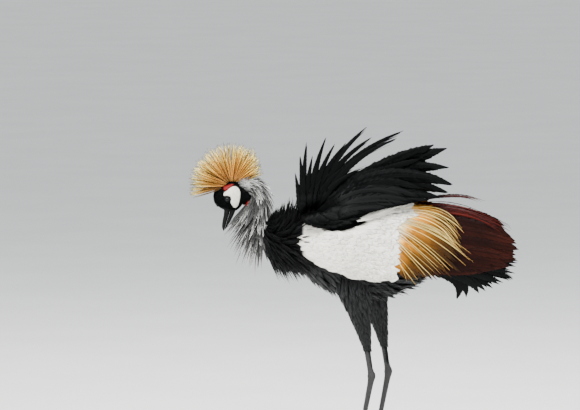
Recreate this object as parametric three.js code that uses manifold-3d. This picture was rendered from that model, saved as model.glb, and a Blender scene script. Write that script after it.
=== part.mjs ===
// A grey crowned crane, life size, standing with its head bowed, its back plumes
// raised and its wings a little lowered. Millimetres, +Z up. The crane faces -X,
// its left side is -Y, and the origin is on the ground under the middle of its box.
import * as THREE from "three";
import Module from "manifold-3d";

const wasm = await Module();
wasm.setup();

// Driving dimensions, in millimetres unless a name says otherwise.
const GAP = 0.3; // between a part and the part that it meets
const VANE_THICKNESS = 0.9;
const SHORTEST_EDGE = 0.02; // smaller slivers left by joining are closed up
const LEFT = -1;
const RIGHT = 1;

// Head: where its middle is, and the way the bill points in the XZ plane.
const HEAD_CENTRE = new THREE.Vector3(-298, 0, 650);
const HEAD_FORWARD = new THREE.Vector3(-0.244, 0, -0.97).normalize();
const HEAD_UP = new THREE.Vector3(-0.97, 0, 0.244).normalize();
const BILL_TIP_FORWARD = 83;
const EYE_RADIUS = 6.5;
const EYE_FORWARD = 9;
const EYE_UP = 7;
const EYE_OUT = 17.5;

const THROAT_CENTRE = new THREE.Vector3(-262, 0, 648);
const THROAT_RADII = new THREE.Vector3(17, 15, 21);
const CHEEK_THICKNESS = 1.2;

const CREST_CENTRE = new THREE.Vector3(-296, 0, 674);
const CREST_PAD_RADII = new THREE.Vector3(23, 17, 17);
const CREST_ROOT_RADIUS = 9;
const CREST_TIP_RADIUS = 98;
const CREST_HALF_THICKNESS = 1.25;
const CREST_SPINES = 60;
const CREST_FIRST_ANGLE = 38; // degrees above +X, the hindmost spines
const CREST_LAST_ANGLE = 190; // the foremost spines, a little under level
const CREST_HALF_SPREAD = 36; // degrees to each side

const WING_HALF_WIDTH = 113;
const WING_WIDEST_X = 10;
const WING_FRONT_LENGTH = 172;
const WING_BACK_LENGTH = 450;
const WING_HALF_DEPTH = 120;
const ARM_BACK_X = 100;
const ARM_THICKNESS = 34;

const MANTLE_CENTRE = new THREE.Vector3(-84, 0, 584);
const MANTLE_RADII = new THREE.Vector3(58, 84, 42);
const MANTLE_HALF_WIDTH = 28;

const TAIL_ROOT_X = 226;
const TAIL_FEATHERS = 6;

const FOOT_X = { [LEFT]: 2, [RIGHT]: 44 }; // the ankle over each foot
const FOOT_Y = 50;
const HOCK_Z = 214;
const ANKLE_Z = 15;
// Toes: [turn from straight ahead in degrees, length, half thickness].
const TOES = [
  [0, 88, 6],
  [27, 66, 5.6],
  [-27, 64, 5.6],
  [165, 36, 5],
];
const CLAW_LENGTH = 13;

const lerp = THREE.MathUtils.lerp;
const clamp = THREE.MathUtils.clamp;
const radians = THREE.MathUtils.degToRad;
const point = (x, y, z) => new THREE.Vector3(x, y, z);

// Draws that vary feathers and spines, the same on every run.
function seeded(seed) {
  let state = seed;
  return (low, high) => {
    state = (state * 1664525 + 1013904223) % 4294967296;
    return low + (high - low) * (state / 4294967296);
  };
}

// Solids.

function solidOf(points, triangles) {
  const vertProperties = new Float32Array(points.flatMap((p) => [p.x, p.y, p.z]));
  const make = (triVerts) =>
    new wasm.Manifold(new wasm.Mesh({ numProp: 3, vertProperties, triVerts }));
  const made = make(new Uint32Array(triangles.flat()));
  if (made.volume() > 0) return made;
  return make(new Uint32Array(triangles.flatMap(([a, b, c]) => [a, c, b])));
}

// A closed skin over rings of equally many points. Both faces of a flat ring are
// split alike, so that a thin curved vane doesn't cross itself. The last ring may
// draw in to a tip.
function loft(rings, tip = null) {
  const count = rings[0].length;
  const points = rings.flat();
  const triangles = [];
  rings.slice(1).forEach((_, j) => {
    for (let k = 0; k < count; k += 1) {
      const next = (k + 1) % count;
      const [a, b] = [j * count + k, j * count + next];
      const [c, d] = [a + count, b + count];
      if (k < count / 2) triangles.push([a, b, d], [a, d, c]);
      else triangles.push([a, b, c], [b, d, c]);
    }
  });
  const last = (rings.length - 1) * count;
  triangles.push(...strip(0, count).map(([a, b, c]) => [c, b, a]));
  if (tip) {
    points.push(tip);
    for (let k = 0; k < count; k += 1) {
      triangles.push([last + k, last + ((k + 1) % count), points.length - 1]);
    }
  } else triangles.push(...strip(last, count));
  return solidOf(points, triangles);
}

// A ring closed by triangles between its two facing halves.
function strip(first, count) {
  const triangles = [];
  let [low, high] = [0, count - 1];
  while (high - low > 1) {
    triangles.push([first + low, first + low + 1, first + high]);
    low += 1;
    if (high - low > 1) triangles.push([first + low, first + high - 1, first + high]);
    high -= 1;
  }
  return triangles;
}

// Every solid of a group joined, less what it has to stay clear of. Only the
// largest closed surface is kept.
function fused(pieces, cuts = []) {
  let made = wasm.Manifold.union(pieces);
  if (cuts.length) made = made.subtract(wasm.Manifold.union(cuts));
  const parts = made.simplify(SHORTEST_EDGE).decompose();
  return parts.reduce((best, p) => (p.volume() > best.volume() ? p : best));
}

function meshOf(name, solid, colour, roughness) {
  const { vertProperties, triVerts } = solid.getMesh();
  const geometry = new THREE.BufferGeometry();
  geometry.setAttribute("position", new THREE.BufferAttribute(vertProperties, 3));
  geometry.setIndex(new THREE.BufferAttribute(triVerts, 1));
  geometry.computeVertexNormals();
  const material = new THREE.MeshStandardMaterial({ color: colour, roughness, metalness: 0 });
  const mesh = new THREE.Mesh(geometry, material);
  mesh.name = name;
  return mesh;
}

// A flat tapered vane or lock along a curve. face is the way its flat side looks.
// grow makes it larger all round, as the room that another part leaves for it.
function vane(curve, face, width, shape, steps, { tilt = 0, grow = 0 } = {}) {
  const rings = [];
  for (let j = 0; j < steps; j += 1) {
    const t = j / steps;
    const middle = curve.getPoint(t);
    const along = curve.getTangent(t);
    const facing = typeof face === "function" ? face(t) : face;
    const across = along.clone().cross(facing).normalize();
    const normal = across.clone().cross(along).normalize();
    const half = (width * shape(t)) / 2 + grow;
    const corner = (side, up) =>
      middle
        .clone()
        .addScaledVector(across, side * half)
        .addScaledVector(normal, up * (VANE_THICKNESS / 2 + grow) + side * tilt);
    rings.push([corner(-1, 1), corner(1, 1), corner(1, -1), corner(-1, -1)]);
  }
  const tip = curve.getPoint(1).addScaledVector(curve.getTangent(1), 2 * grow);
  return loft(rings, tip);
}

const pointed = (t) => (t < 0.35 ? lerp(0.45, 1, t / 0.35) : Math.pow((1 - t) / 0.65, 0.75));
const rounded = (t) => (t < 0.3 ? lerp(0.5, 1, t / 0.3) : Math.pow(1 - ((t - 0.3) / 0.7) ** 3, 0.5));

// Torso: one egg-shaped loft. Each station is [x, middle z, half height, half width].
const TORSO_STATIONS = [
  [-152, 540, 30, 28],
  [-140, 539, 46, 42],
  [-120, 536, 64, 57],
  [-84, 530, 84, 74],
  [-36, 521, 98, 85],
  [24, 516, 102, 88],
  [84, 517, 96, 83],
  [136, 521, 80, 68],
  [180, 525, 56, 48],
  [214, 528, 32, 32],
  [226, 528, 22, 26],
];
const TORSO_SIDES = 18;
const NARROWER_KEEL = 0.1;

function torsoPoint(station, angle, grow) {
  const [x, z, high, wide] = station;
  const egg = 1 + NARROWER_KEEL * Math.sin(angle);
  return point(
    x,
    Math.cos(angle) * (wide + grow) * egg,
    z + Math.sin(angle) * (high + grow),
  );
}

function torsoForm(grow) {
  const first = TORSO_STATIONS[0];
  const last = TORSO_STATIONS.at(-1);
  const stations = [
    [first[0] - grow, ...first.slice(1)],
    ...TORSO_STATIONS.slice(1, -1),
    [last[0] + grow, ...last.slice(1)],
  ];
  const rings = stations.map((station) =>
    Array.from({ length: TORSO_SIDES }, (_, k) =>
      torsoPoint(station, (2 * Math.PI * k) / TORSO_SIDES, grow),
    ),
  );
  return loft(rings);
}

// Neck: a tube along an arched curve, from the back of the skull to the breast.
const NECK_PATH = new THREE.CatmullRomCurve3(
  [
    point(-281, 0, 664),
    point(-272, 0, 672),
    point(-254, 0, 680),
    point(-233, 0, 669),
    point(-224, 0, 643),
    point(-226, 0, 606),
    point(-228, 0, 573),
    point(-212, 0, 546),
    point(-178, 0, 534),
    point(-140, 0, 536),
    point(-100, 0, 538),
  ],
  false,
  "centripetal",
);
const NECK_SIDES = 14;
const NECK_HEAD_RADIUS = 19;
const NECK_MIDDLE_RADIUS = 20;
const NECK_BASE_RADIUS = 52;
const NECK_WIDENS_FROM = 0.5;

function neckRadius(t) {
  const low = clamp((t - NECK_WIDENS_FROM) / 0.4, 0, 1);
  return lerp(lerp(NECK_HEAD_RADIUS, NECK_MIDDLE_RADIUS, t), NECK_BASE_RADIUS, low ** 1.6);
}

// The way out of the neck: angle 0 is its hind side, 180 degrees its throat side.
function outOfNeck(t, angle) {
  const along = NECK_PATH.getTangentAt(t);
  return point(-along.z * Math.cos(angle), Math.sin(angle), along.x * Math.cos(angle));
}

const neckPoint = (t, angle, grow = 0) =>
  NECK_PATH.getPointAt(t).addScaledVector(outOfNeck(t, angle), neckRadius(t) + grow);

function neckTube(from, to, rows, grow = 0) {
  const rings = [];
  for (let j = 0; j <= rows; j += 1) {
    const t = lerp(from, to, j / rows);
    rings.push(
      Array.from({ length: NECK_SIDES }, (_, k) =>
        neckPoint(t, (2 * Math.PI * k) / NECK_SIDES, grow),
      ),
    );
  }
  return loft(rings);
}

// Head.

const headPoint = (forward, up, out) =>
  HEAD_CENTRE.clone()
    .addScaledVector(HEAD_FORWARD, forward)
    .addScaledVector(HEAD_UP, up)
    .add(point(0, out, 0));

// Stations along the head: [forward, crown, throat, half width].
const HEAD_STATIONS = [
  [-34, 6, -12, 8],
  [-31, 13, -19, 13],
  [-25, 21, -25, 17],
  [-15, 34.5, -31, 20.5],
  [-3, 41, -34, 22],
  [9, 41.5, -33, 22],
  [18, 38.5, -30, 20],
  [25, 34.5, -26, 17],
  [31, 27.5, -21, 13.5],
  [35, 19, -16, 10],
  [37, 11, -12, 7.5],
];
const HEAD_SIDES = 14;

function headForm(grow) {
  const rings = HEAD_STATIONS.map(([forward, crown, throat, wide], j) => {
    const end = j === 0 ? -grow : j === HEAD_STATIONS.length - 1 ? grow : 0;
    const middle = (crown + throat) / 2;
    const high = (crown - throat) / 2;
    return Array.from({ length: HEAD_SIDES }, (_, k) => {
      const angle = (2 * Math.PI * k) / HEAD_SIDES;
      return headPoint(
        forward + end,
        middle + Math.sin(angle) * (high + grow),
        Math.cos(angle) * (wide + grow),
      );
    });
  });
  return loft(rings);
}

function ball(centre, radii, widthSegments = 16, heightSegments = 10) {
  const shape = new THREE.SphereGeometry(1, widthSegments, heightSegments);
  const found = new Map();
  const points = [];
  const position = shape.getAttribute("position");
  const indexOf = (i) => {
    const p = point(position.getX(i), position.getY(i), position.getZ(i));
    const key = p.toArray().map((c) => Math.round(c * 1e5)).join();
    if (!found.has(key)) {
      found.set(key, points.length);
      points.push(p.multiply(radii).add(centre));
    }
    return found.get(key);
  };
  const corners = Array.from(shape.index.array, indexOf);
  const triangles = [];
  for (let i = 0; i < corners.length; i += 3) {
    const [a, b, c] = corners.slice(i, i + 3);
    if (a !== b && b !== c && a !== c) triangles.push([a, b, c]);
  }
  return solidOf(points, triangles);
}

const evenBall = (centre, radius, wide, high) =>
  ball(centre, point(radius, radius, radius), wide, high);

const eyeCentre = (side) => headPoint(EYE_FORWARD, EYE_UP, side * EYE_OUT);

// A lid is a ring round the eye, proud of the feathers.
function lidForm(side) {
  const LID_RADIUS = 6.2;
  const LID_THICKNESS = 1.3;
  const LID_OUT = 4.2;
  const rings = 10;
  const points = [];
  const triangles = [];
  const around = 4;
  for (let j = 0; j < rings; j += 1) {
    const turn = (2 * Math.PI * j) / rings;
    for (let k = 0; k < around; k += 1) {
      const roll = (2 * Math.PI * k) / around;
      const radius = LID_RADIUS + LID_THICKNESS * Math.cos(roll);
      points.push(
        headPoint(
          EYE_FORWARD + radius * Math.cos(turn),
          EYE_UP + radius * Math.sin(turn) * 0.86,
          side * (EYE_OUT + LID_OUT + LID_THICKNESS * Math.sin(roll)),
        ),
      );
      const a = j * around + k;
      const b = j * around + ((k + 1) % around);
      const c = ((j + 1) % rings) * around + k;
      const d = ((j + 1) % rings) * around + ((k + 1) % around);
      triangles.push([a, b, d], [a, d, c]);
    }
  }
  return solidOf(points, triangles);
}

// A patch of bare skin on the cheek: an outline in head measures, pressed on the head.
const CHEEK_OUTLINE = [
  [-3, 18],
  [-14, 13],
  [-25, 3],
  [-24, -8],
  [-17, -18],
  [-8, -23],
  [4, -24],
  [16, -22],
  [25, -19.5],
  [21, -10],
  [16, -4],
  [9, -2.5],
  [2, 1],
  [1, 9],
];
function cheekForm(side) {
  const HALF_THICKNESS = 16;
  const corners = CHEEK_OUTLINE.map(([f, u]) => new THREE.Vector2(f, u));
  const smooth = new THREE.SplineCurve([...corners, corners[0]]);
  const ring = (out) => smooth.getPoints(14).slice(0, -1).map((p) => headPoint(p.x, p.y, out));
  const middle = side * (EYE_OUT + 2);
  const slab = loftFlat(ring(middle - HALF_THICKNESS), ring(middle + HALF_THICKNESS));
  return fused([slab.intersect(headForm(GAP + CHEEK_THICKNESS))], [headForm(GAP), eyeRoom()]);
}

// A prism between two copies of an outline, its ends cut into triangles by three.js.
function loftFlat(low, high) {
  const flat = low.map((p) => new THREE.Vector2(p.x, p.z));
  const ends = THREE.ShapeUtils.triangulateShape(flat, []);
  const count = low.length;
  const triangles = ends.map(([a, b, c]) => [a, b, c]);
  ends.forEach(([a, b, c]) => triangles.push([a + count, c + count, b + count]));
  for (let k = 0; k < count; k += 1) {
    const next = (k + 1) % count;
    const turned = THREE.ShapeUtils.isClockWise(flat);
    const [a, b, c, d] = [k, next, k + count, next + count];
    if (turned) triangles.push([a, b, d], [a, d, c]);
    else triangles.push([b, a, c], [b, c, d]);
  }
  return solidOf([...low, ...high], triangles);
}

// What the cheek stays clear of round the eye.
const eyeRoom = () =>
  fused([
    evenBall(eyeCentre(LEFT), EYE_RADIUS + 2, 12, 8),
    loft(
      [-30, 30].map((out) =>
        Array.from({ length: 12 }, (_, k) =>
          headPoint(
            EYE_FORWARD + 8.4 * Math.cos((2 * Math.PI * k) / 12),
            EYE_UP + 7.6 * Math.sin((2 * Math.PI * k) / 12),
            out,
          ),
        ),
      ),
    ),
  ]);

// One mandible: stations are [forward, upper edge, lower edge, half width].
function mandible(stations, tip) {
  const rings = stations.map(([forward, high, low, wide]) =>
    Array.from({ length: BILL_SIDES }, (_, k) => {
      const angle = (2 * Math.PI * k) / BILL_SIDES;
      return headPoint(
        forward,
        (high + low) / 2 + (Math.sin(angle) * (high - low)) / 2,
        Math.cos(angle) * wide,
      );
    }),
  );
  return loft(rings, headPoint(...tip));
}

const BILL_SIDES = 10;
const BILL_UPPER_STATIONS = [
  [26, 12, -6.8, 9],
  [38, 7.2, -6.2, 7.8],
  [49, 4.9, -6, 6.4],
  [61, 3.3, -5.4, 4.8],
  [72, 1.9, -4.7, 3.2],
];
const BILL_LOWER_STATIONS = [
  [24, -7.1, -17, 8.4],
  [38, -6.5, -14, 7],
  [49, -6.3, -11, 5.4],
  [61, -5.7, -8.6, 3.8],
  [72, -5, -6.8, 2.4],
];

// A slit in the side of the upper mandible.
function nostril(side) {
  const [forward, up, out] = [47, 0.8, 7.2];
  const rings = [-5, 5].map((along) =>
    Array.from({ length: 6 }, (_, k) => {
      const turn = (2 * Math.PI * k) / 6;
      return headPoint(
        forward + along,
        up - along * 0.2 + 1.2 * Math.cos(turn),
        side * (out + 1.8 * Math.sin(turn)),
      );
    }),
  );
  return loft(rings);
}

function crestSpine(angle, lean, length, grow) {
  const SIDES = 3;
  const way = point(
    Math.cos(angle) * Math.cos(lean),
    Math.sin(lean),
    Math.sin(angle) * Math.cos(lean),
  );
  const side = way.clone().cross(point(0.2, 0.9, 0.3)).normalize();
  const other = way.clone().cross(side);
  const ring = (radius, half) =>
    Array.from({ length: SIDES }, (_, k) => {
      const turn = (2 * Math.PI * k) / SIDES;
      return CREST_CENTRE.clone()
        .addScaledVector(way, radius)
        .addScaledVector(side, (half + grow) * Math.cos(turn))
        .addScaledVector(other, (half + grow) * Math.sin(turn));
    });
  const sag = point(0, 0, -2.4 * Math.max(0, -Math.cos(angle)));
  const tip = CREST_CENTRE.clone().addScaledVector(way, length).add(sag);
  return loft(
    [ring(CREST_ROOT_RADIUS, CREST_HALF_THICKNESS), ring(length * 0.6, CREST_HALF_THICKNESS * 0.8)],
    tip,
  );
}

// Spines spread evenly over the fan that the crest fills.
function crestSpines(grow) {
  const draw = seeded(11);
  const EVENING = 0.618034; // steps that spread points evenly across the fan
  return Array.from({ length: CREST_SPINES }, (_, i) => {
    const across = ((i * EVENING) % 1) * 2 - 1;
    const along = (i + 0.5) / CREST_SPINES;
    const angle = radians(lerp(CREST_FIRST_ANGLE, CREST_LAST_ANGLE, along) + draw(-2, 2));
    const narrowing = 1 - 0.35 * Math.abs(2 * along - 1);
    const lean = radians(CREST_HALF_SPREAD * across * narrowing + draw(-2, 2));
    const length = CREST_TIP_RADIUS * draw(0.88, 1);
    return crestSpine(angle, lean, length, grow);
  });
}

const crestPad = (grow) =>
  ball(CREST_CENTRE, CREST_PAD_RADII.clone().addScalar(grow), 12, 8);

// Plumes in rows round the neck, root in the skin, lying towards the breast and
// lifting off it. Each measure runs from the hind side of the neck to the throat.
function neckPlumes(rows, grow) {
  const draw = seeded(rows.seed);
  const plumes = [];
  for (let row = 0; row < rows.count; row += 1) {
    const share = row / (rows.count - 1);
    const t = lerp(rows.from, rows.to, share);
    const from = rows.bare * (1 - share);
    for (let k = 0; k < rows.around; k += 1) {
      const turn = (k + 0.5 * (row % 2)) / rows.around + draw(-0.02, 0.02);
      const angle = 2 * Math.PI * turn;
      const front = (1 - Math.cos(angle)) / 2;
      const reach = lerp(...rows.length, front) * draw(0.85, 1.1);
      const rise = radians(lerp(...rows.lift, front) + 8 * share + draw(-3, 3));
      if (front > 1 - from) continue;
      const out = outOfNeck(t, angle);
      const way = NECK_PATH.getTangentAt(t)
        .lerp(rows.hang, rows.hanging * front)
        .normalize()
        .multiplyScalar(Math.cos(rise))
        .addScaledVector(out, Math.sin(rise));
      const base = neckPoint(t, angle, -NECK_ROOT_DEPTH);
      const tip = base.clone().addScaledVector(way, reach).add(point(0, 0, -rows.drop * reach));
      const bend = base.clone().addScaledVector(way, reach * 0.55).addScaledVector(out, 2);
      const curve = new THREE.QuadraticBezierCurve3(base, bend, tip);
      plumes.push(vane(curve, out, rows.width, pointed, 3, { grow }));
    }
  }
  return plumes;
}

const NECK_ROOT_DEPTH = 3.5;
const UPPER_PLUMES = {
  seed: 1,
  from: 0.1,
  to: 0.27,
  count: 3,
  around: 6,
  bare: 0.5,
  length: [30, 62],
  lift: [13, 22],
  hang: point(-0.25, 0, -1),
  hanging: 0.8,
  drop: 0.03,
  width: 10,
};
const MIDDLE_PLUMES = {
  seed: 2,
  from: 0.34,
  to: 0.58,
  count: 3,
  around: 7,
  bare: 0,
  length: [30, 88],
  lift: [7, 24],
  hang: point(-0.35, 0, -1),
  hanging: 0.9,
  drop: 0.08,
  width: 11,
};
const LOWER_PLUMES = {
  seed: 3,
  from: 0.65,
  to: 0.86,
  count: 3,
  around: 7,
  bare: 0,
  length: [82, 66],
  lift: [50, 20],
  hang: point(0.2, 0, -1),
  hanging: 0.5,
  drop: 0,
  width: 16,
};

// Wing skin: how far out the folded wing's outer face lies, and where on its side.
function wingReach(x) {
  if (x < WING_WIDEST_X) {
    const share = Math.min(1, (WING_WIDEST_X - x) / WING_FRONT_LENGTH);
    return WING_HALF_WIDTH * Math.sqrt(1 - share * share);
  }
  const share = (x - WING_WIDEST_X) / WING_BACK_LENGTH;
  return WING_HALF_WIDTH * Math.cos((Math.PI / 2) * share ** 1.3);
}

function wingSkin(side, x, z, lift) {
  const middle = 540 - 0.1 * (x + 132);
  const across = (z - middle) / WING_HALF_DEPTH;
  return point(x, side * (wingReach(x) * (1 - 0.5 * across * across) + lift), z);
}

// A slab that follows the wing's skin between two lifts, over stations of
// [x, lower z, upper z].
function wingSlab(side, stations, inner, outer, rows) {
  const rings = stations.map(([x, low, high]) => {
    const heights = Array.from({ length: rows }, (_, k) => lerp(low, high, k / (rows - 1)));
    const outside = heights.map((z) => wingSkin(side, x, z, outer));
    const inside = heights.map((z) => wingSkin(side, x, z, inner)).reverse();
    return [...outside, ...inside];
  });
  return loft(rings);
}

const ARM_OUTLINE = [
  [-146, 545, 572],
  [-138, 515, 584],
  [-120, 482, 586],
  [-90, 460, 578],
  [-40, 440, 574],
  [20, 428, 590],
  [70, 424, 616],
  [ARM_BACK_X, 426, 626],
];

function armForm(side, grow) {
  const stations = ARM_OUTLINE.map(([x, low, high]) => [x, low - grow, high + grow]);
  stations.at(-1)[0] += grow;
  return wingSlab(side, stations, -ARM_THICKNESS - grow, grow, 7);
}

// Each layer of long feathers has a bed inside the arm, under the layer outside it.
const BED_OUTLINE = [
  [30, 462, 600],
  [66, 446, 612],
  [ARM_BACK_X + 2, 436, 622],
];
const LAYERS = {
  coverts: { outer: -1.2, inner: -6.4 },
  secondaries: { outer: -6.9, inner: -12.8 },
  primaries: { outer: -13.3, inner: -19.2 },
};
const ALL_LAYERS = { outer: LAYERS.coverts.outer, inner: LAYERS.primaries.inner };

function bedForm(side, { outer, inner }, grow) {
  const last = BED_OUTLINE.length - 1;
  const stations = BED_OUTLINE.map(([x, low, high], j) => [
    x + (j === 0 ? -grow : 0) + (j === last ? 3 * grow : 0),
    low - grow,
    high + grow,
  ]);
  return wingSlab(side, stations, inner - grow, outer + grow, 8);
}

// A feather that follows the wing's skin from a root to a tip, both [x, z].
function wingVane(side, [base, bend, tip], fan, width, options) {
  const { lift, shape, steps, sunk = 0 } = fan;
  const flat = new THREE.QuadraticBezierCurve(base, bend, tip);
  const onSkin = (p, out = lift) => wingSkin(side, p.x, p.y, out);
  const count = steps * 3;
  const path = new THREE.CatmullRomCurve3(
    flat.getPoints(count).map((p, j) => onSkin(p, lift - sunk * Math.max(0, 1 - (3 * j) / count))),
  );
  const face = (t) => {
    const p = flat.getPoint(t);
    const aft = wingSkin(side, p.x + 1, p.y, lift).sub(onSkin(p));
    const above = wingSkin(side, p.x, p.y + 1, lift).sub(onSkin(p));
    return aft.cross(above).multiplyScalar(-side);
  };
  return vane(path, face, width, shape, steps, options);
}

// A fan of feathers: root, bend and tip run along their own curves of [x, z].
function wingFan(side, fan, grow) {
  const draw = seeded(fan.seed + (side === LEFT ? 0 : 1));
  const curves = [fan.roots, fan.bends, fan.tips].map(
    (list) => new THREE.SplineCurve(list.map(([x, z]) => new THREE.Vector2(x, z))),
  );
  return Array.from({ length: fan.count }, (_, i) => {
    const [base, bend, tip] = curves.map((c) => c.getPoint(i / (fan.count - 1)));
    tip.lerp(base, draw(0, fan.ragged));
    const width = fan.width * draw(0.92, 1.05);
    const options = { tilt: -side * fan.tilt, grow };
    return wingVane(side, [base, bend, tip], fan, width, options);
  });
}

const COVERT_FAN = {
  seed: 21,
  count: 10,
  roots: [[84, 602], [84, 560], [84, 510], [84, 462]],
  bends: [[190, 628], [180, 568], [165, 505], [125, 440]],
  tips: [[264, 566], [282, 506], [262, 462], [190, 424]],
  lift: -3.8,
  width: 19,
  shape: pointed,
  steps: 4,
  tilt: 0.9,
  ragged: 0.12,
};
const SECONDARY_FAN = {
  seed: 31,
  count: 8,
  roots: [[84, 600], [84, 560], [84, 515], [84, 466]],
  bends: [[230, 640], [240, 580], [230, 520], [200, 455]],
  tips: [[372, 574], [394, 520], [380, 486], [290, 446]],
  lift: -9.9,
  width: 30,
  shape: rounded,
  steps: 5,
  tilt: 0.9,
  ragged: 0.05,
};
const PRIMARY_FAN = {
  seed: 41,
  count: 6,
  roots: [[84, 540], [84, 515], [84, 490], [84, 462]],
  bends: [[220, 520], [210, 500], [200, 475], [190, 455]],
  tips: [[392, 484], [370, 452], [326, 434], [250, 400]],
  lift: -16.3,
  width: 26,
  shape: pointed,
  steps: 4,
  tilt: 0.9,
  ragged: 0.04,
};
const WHITE_FANS = [
  {
    seed: 51,
    count: 4,
    roots: [[44, 592], [36, 555], [36, 505], [50, 455]],
    bends: [[90, 604], [82, 560], [80, 500], [88, 446]],
    tips: [[136, 608], [126, 562], [122, 500], [136, 430]],
    lift: 1.2,
    width: 48,
    shape: rounded,
    steps: 3,
    sunk: 2,
    tilt: 0.7,
    ragged: 0.06,
  },
  {
    seed: 61,
    count: 4,
    roots: [[-30, 566], [-36, 540], [-34, 500], [-16, 455]],
    bends: [[16, 580], [10, 545], [12, 495], [28, 442]],
    tips: [[62, 592], [56, 552], [54, 490], [70, 428]],
    lift: 2,
    width: 48,
    shape: rounded,
    steps: 3,
    sunk: 3,
    tilt: 0.7,
    ragged: 0.06,
  },
];

// Mantle and scapulars: a bed over the shoulders that carries the raised plumes.
const mantleBed = (grow) =>
  ball(MANTLE_CENTRE, MANTLE_RADII.clone().addScalar(grow), 20, 12);

// Plume tips and roots seen from the side, [x, z], from the upright foremost plumes
// to the lowest, which lie on the wing.
const PLUME_TIPS = new THREE.SplineCurve(
  [
    [-140, 728],
    [-116, 782],
    [-66, 795],
    [-16, 784],
    [32, 818],
    [84, 796],
    [118, 806],
    [168, 786],
    [206, 774],
    [228, 756],
    [230, 718],
    [238, 678],
    [226, 650],
    [180, 640],
    [116, 622],
    [56, 604],
  ].map(([x, z]) => new THREE.Vector2(x, z)),
);
const PLUME_ROOTS = new THREE.SplineCurve(
  [
    [-126, 604],
    [-116, 612],
    [-104, 616],
    [-94, 612],
    [-86, 602],
    [-80, 590],
  ].map(([x, z]) => new THREE.Vector2(x, z)),
);

// The raised plumes lie on surfaces that stand on the wing and lean in over the
// back: inner is 0 for the outermost plumes and 1 for those in the middle.
function cloakSkin(side, x, z, inner, lift) {
  const rise = THREE.MathUtils.smoothstep(z, 600, 820);
  const across = ((z - 540) / WING_HALF_DEPTH) ** 2;
  const low = wingReach(Math.max(x, -70)) * (1 - 0.5 * across * (1 - rise));
  const outermost = lerp(Math.max(low, 60), 62, rise);
  return point(x, side * (lerp(outermost, lerp(8, 16, rise), inner) + lift), z);
}

function shoulderPlume(side, { share, inner, shorten, width, lift, shape, grow }) {
  const tip = PLUME_TIPS.getPoint(share);
  const base = PLUME_ROOTS.getPoint(share);
  tip.lerp(base, shorten);
  const along = tip.clone().sub(base);
  const up = new THREE.Vector2(-along.y, along.x).multiplyScalar(lerp(0.02, 0.16, share));
  const bend = base.clone().addScaledVector(along, 0.5).add(up);
  const flat = new THREE.QuadraticBezierCurve(base, bend, tip);
  const POINTS = 14;
  const sunk = (t) => lerp(inner, 1, 0.4 * (1 - THREE.MathUtils.smoothstep(t, 0, 0.3)));
  const onCloak = (x, z, t) => cloakSkin(side, x, z, sunk(t), lift);
  const path = new THREE.CatmullRomCurve3(
    flat.getPoints(POINTS).map((p, j) => onCloak(p.x, p.y, j / POINTS)),
  );
  const face = (t) => {
    const p = flat.getPoint(t);
    const here = onCloak(p.x, p.y, t);
    const aft = onCloak(p.x + 1, p.y, t).sub(here);
    const above = onCloak(p.x, p.y + 1, t).sub(here);
    return aft.cross(above).multiplyScalar(-side);
  };
  return vane(path, face, width, shape, 4, { tilt: -side * PLUME_TILT, grow });
}

// Plumes from first to last of the fan. The upright ones take turns between an
// outer and an inner place, and those on the wing all lie outermost.
function shoulderPlumes(side, { seed, first, last, count, places, width }, grow) {
  const draw = seeded(seed + (side === LEFT ? 0 : 1));
  return Array.from({ length: count }, (_, i) => {
    const share = lerp(first, last, i / (count - 1));
    const upright = 1 - THREE.MathUtils.smoothstep(share, 0.5, 0.75);
    return shoulderPlume(side, {
      share,
      inner: lerp(0, places[i % places.length], upright),
      shorten: i % 2 ? draw(0.1, 0.24) : draw(0, 0.05),
      width: lerp(...width, share),
      lift: PLUME_LIFT + PLUME_LAYER * (i % PLUME_LAYERS),
      shape: share > BROAD_FROM ? rounded : pointed,
      grow,
    });
  });
}

const PLUME_TILT = 0.3;
const PLUME_LIFT = 5;
const PLUME_LAYER = 3.4;
const PLUME_LAYERS = 3;
const BROAD_FROM = 0.45;
const MANTLE_PLUMES = {
  seed: 5,
  first: 0.02,
  last: 0.6,
  count: 7,
  places: [1, 0.86],
  width: [18, 44],
};
const SCAPULAR_PLUMES = {
  seed: 8,
  first: 0.1,
  last: 1,
  count: 10,
  places: [0.25, 0.55],
  width: [20, 46],
};

// Tail: a short fan of long feathers behind the rump.
function tailForm(torso) {
  const draw = seeded(71);
  const bedRing = (x, z, high, wide) =>
    Array.from({ length: 12 }, (_, k) => {
      const angle = (2 * Math.PI * k) / 12;
      return point(x, Math.cos(angle) * wide, z + Math.sin(angle) * high);
    });
  const bed = loft([
    bedRing(TAIL_ROOT_X + GAP, 528, 20, 24),
    bedRing(TAIL_ROOT_X + 14, 524, 16, 21),
    bedRing(TAIL_ROOT_X + 26, 519, 9, 15),
  ]);
  const feathers = Array.from({ length: TAIL_FEATHERS }, (_, i) => {
    const across = (2 * i) / (TAIL_FEATHERS - 1) - 1;
    const layer = (1 - Math.abs(across)) * 6 + (across > 0 ? 0.7 : 0);
    const base = point(TAIL_ROOT_X + 8, across * 12, 519 + layer);
    const bend = point(TAIL_ROOT_X + 80, across * 20, 500 + layer);
    const tip = point(
      TAIL_ROOT_X + 156 - 8 * across * across + draw(-4, 4),
      across * 19,
      446 + layer + draw(-3, 3),
    );
    const face = point(0.35, across * 0.3, 1);
    return vane(new THREE.QuadraticBezierCurve3(base, bend, tip), face, 22, rounded, 4);
  });
  return fused([bed, ...feathers], [torso]);
}

// Legs.

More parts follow.
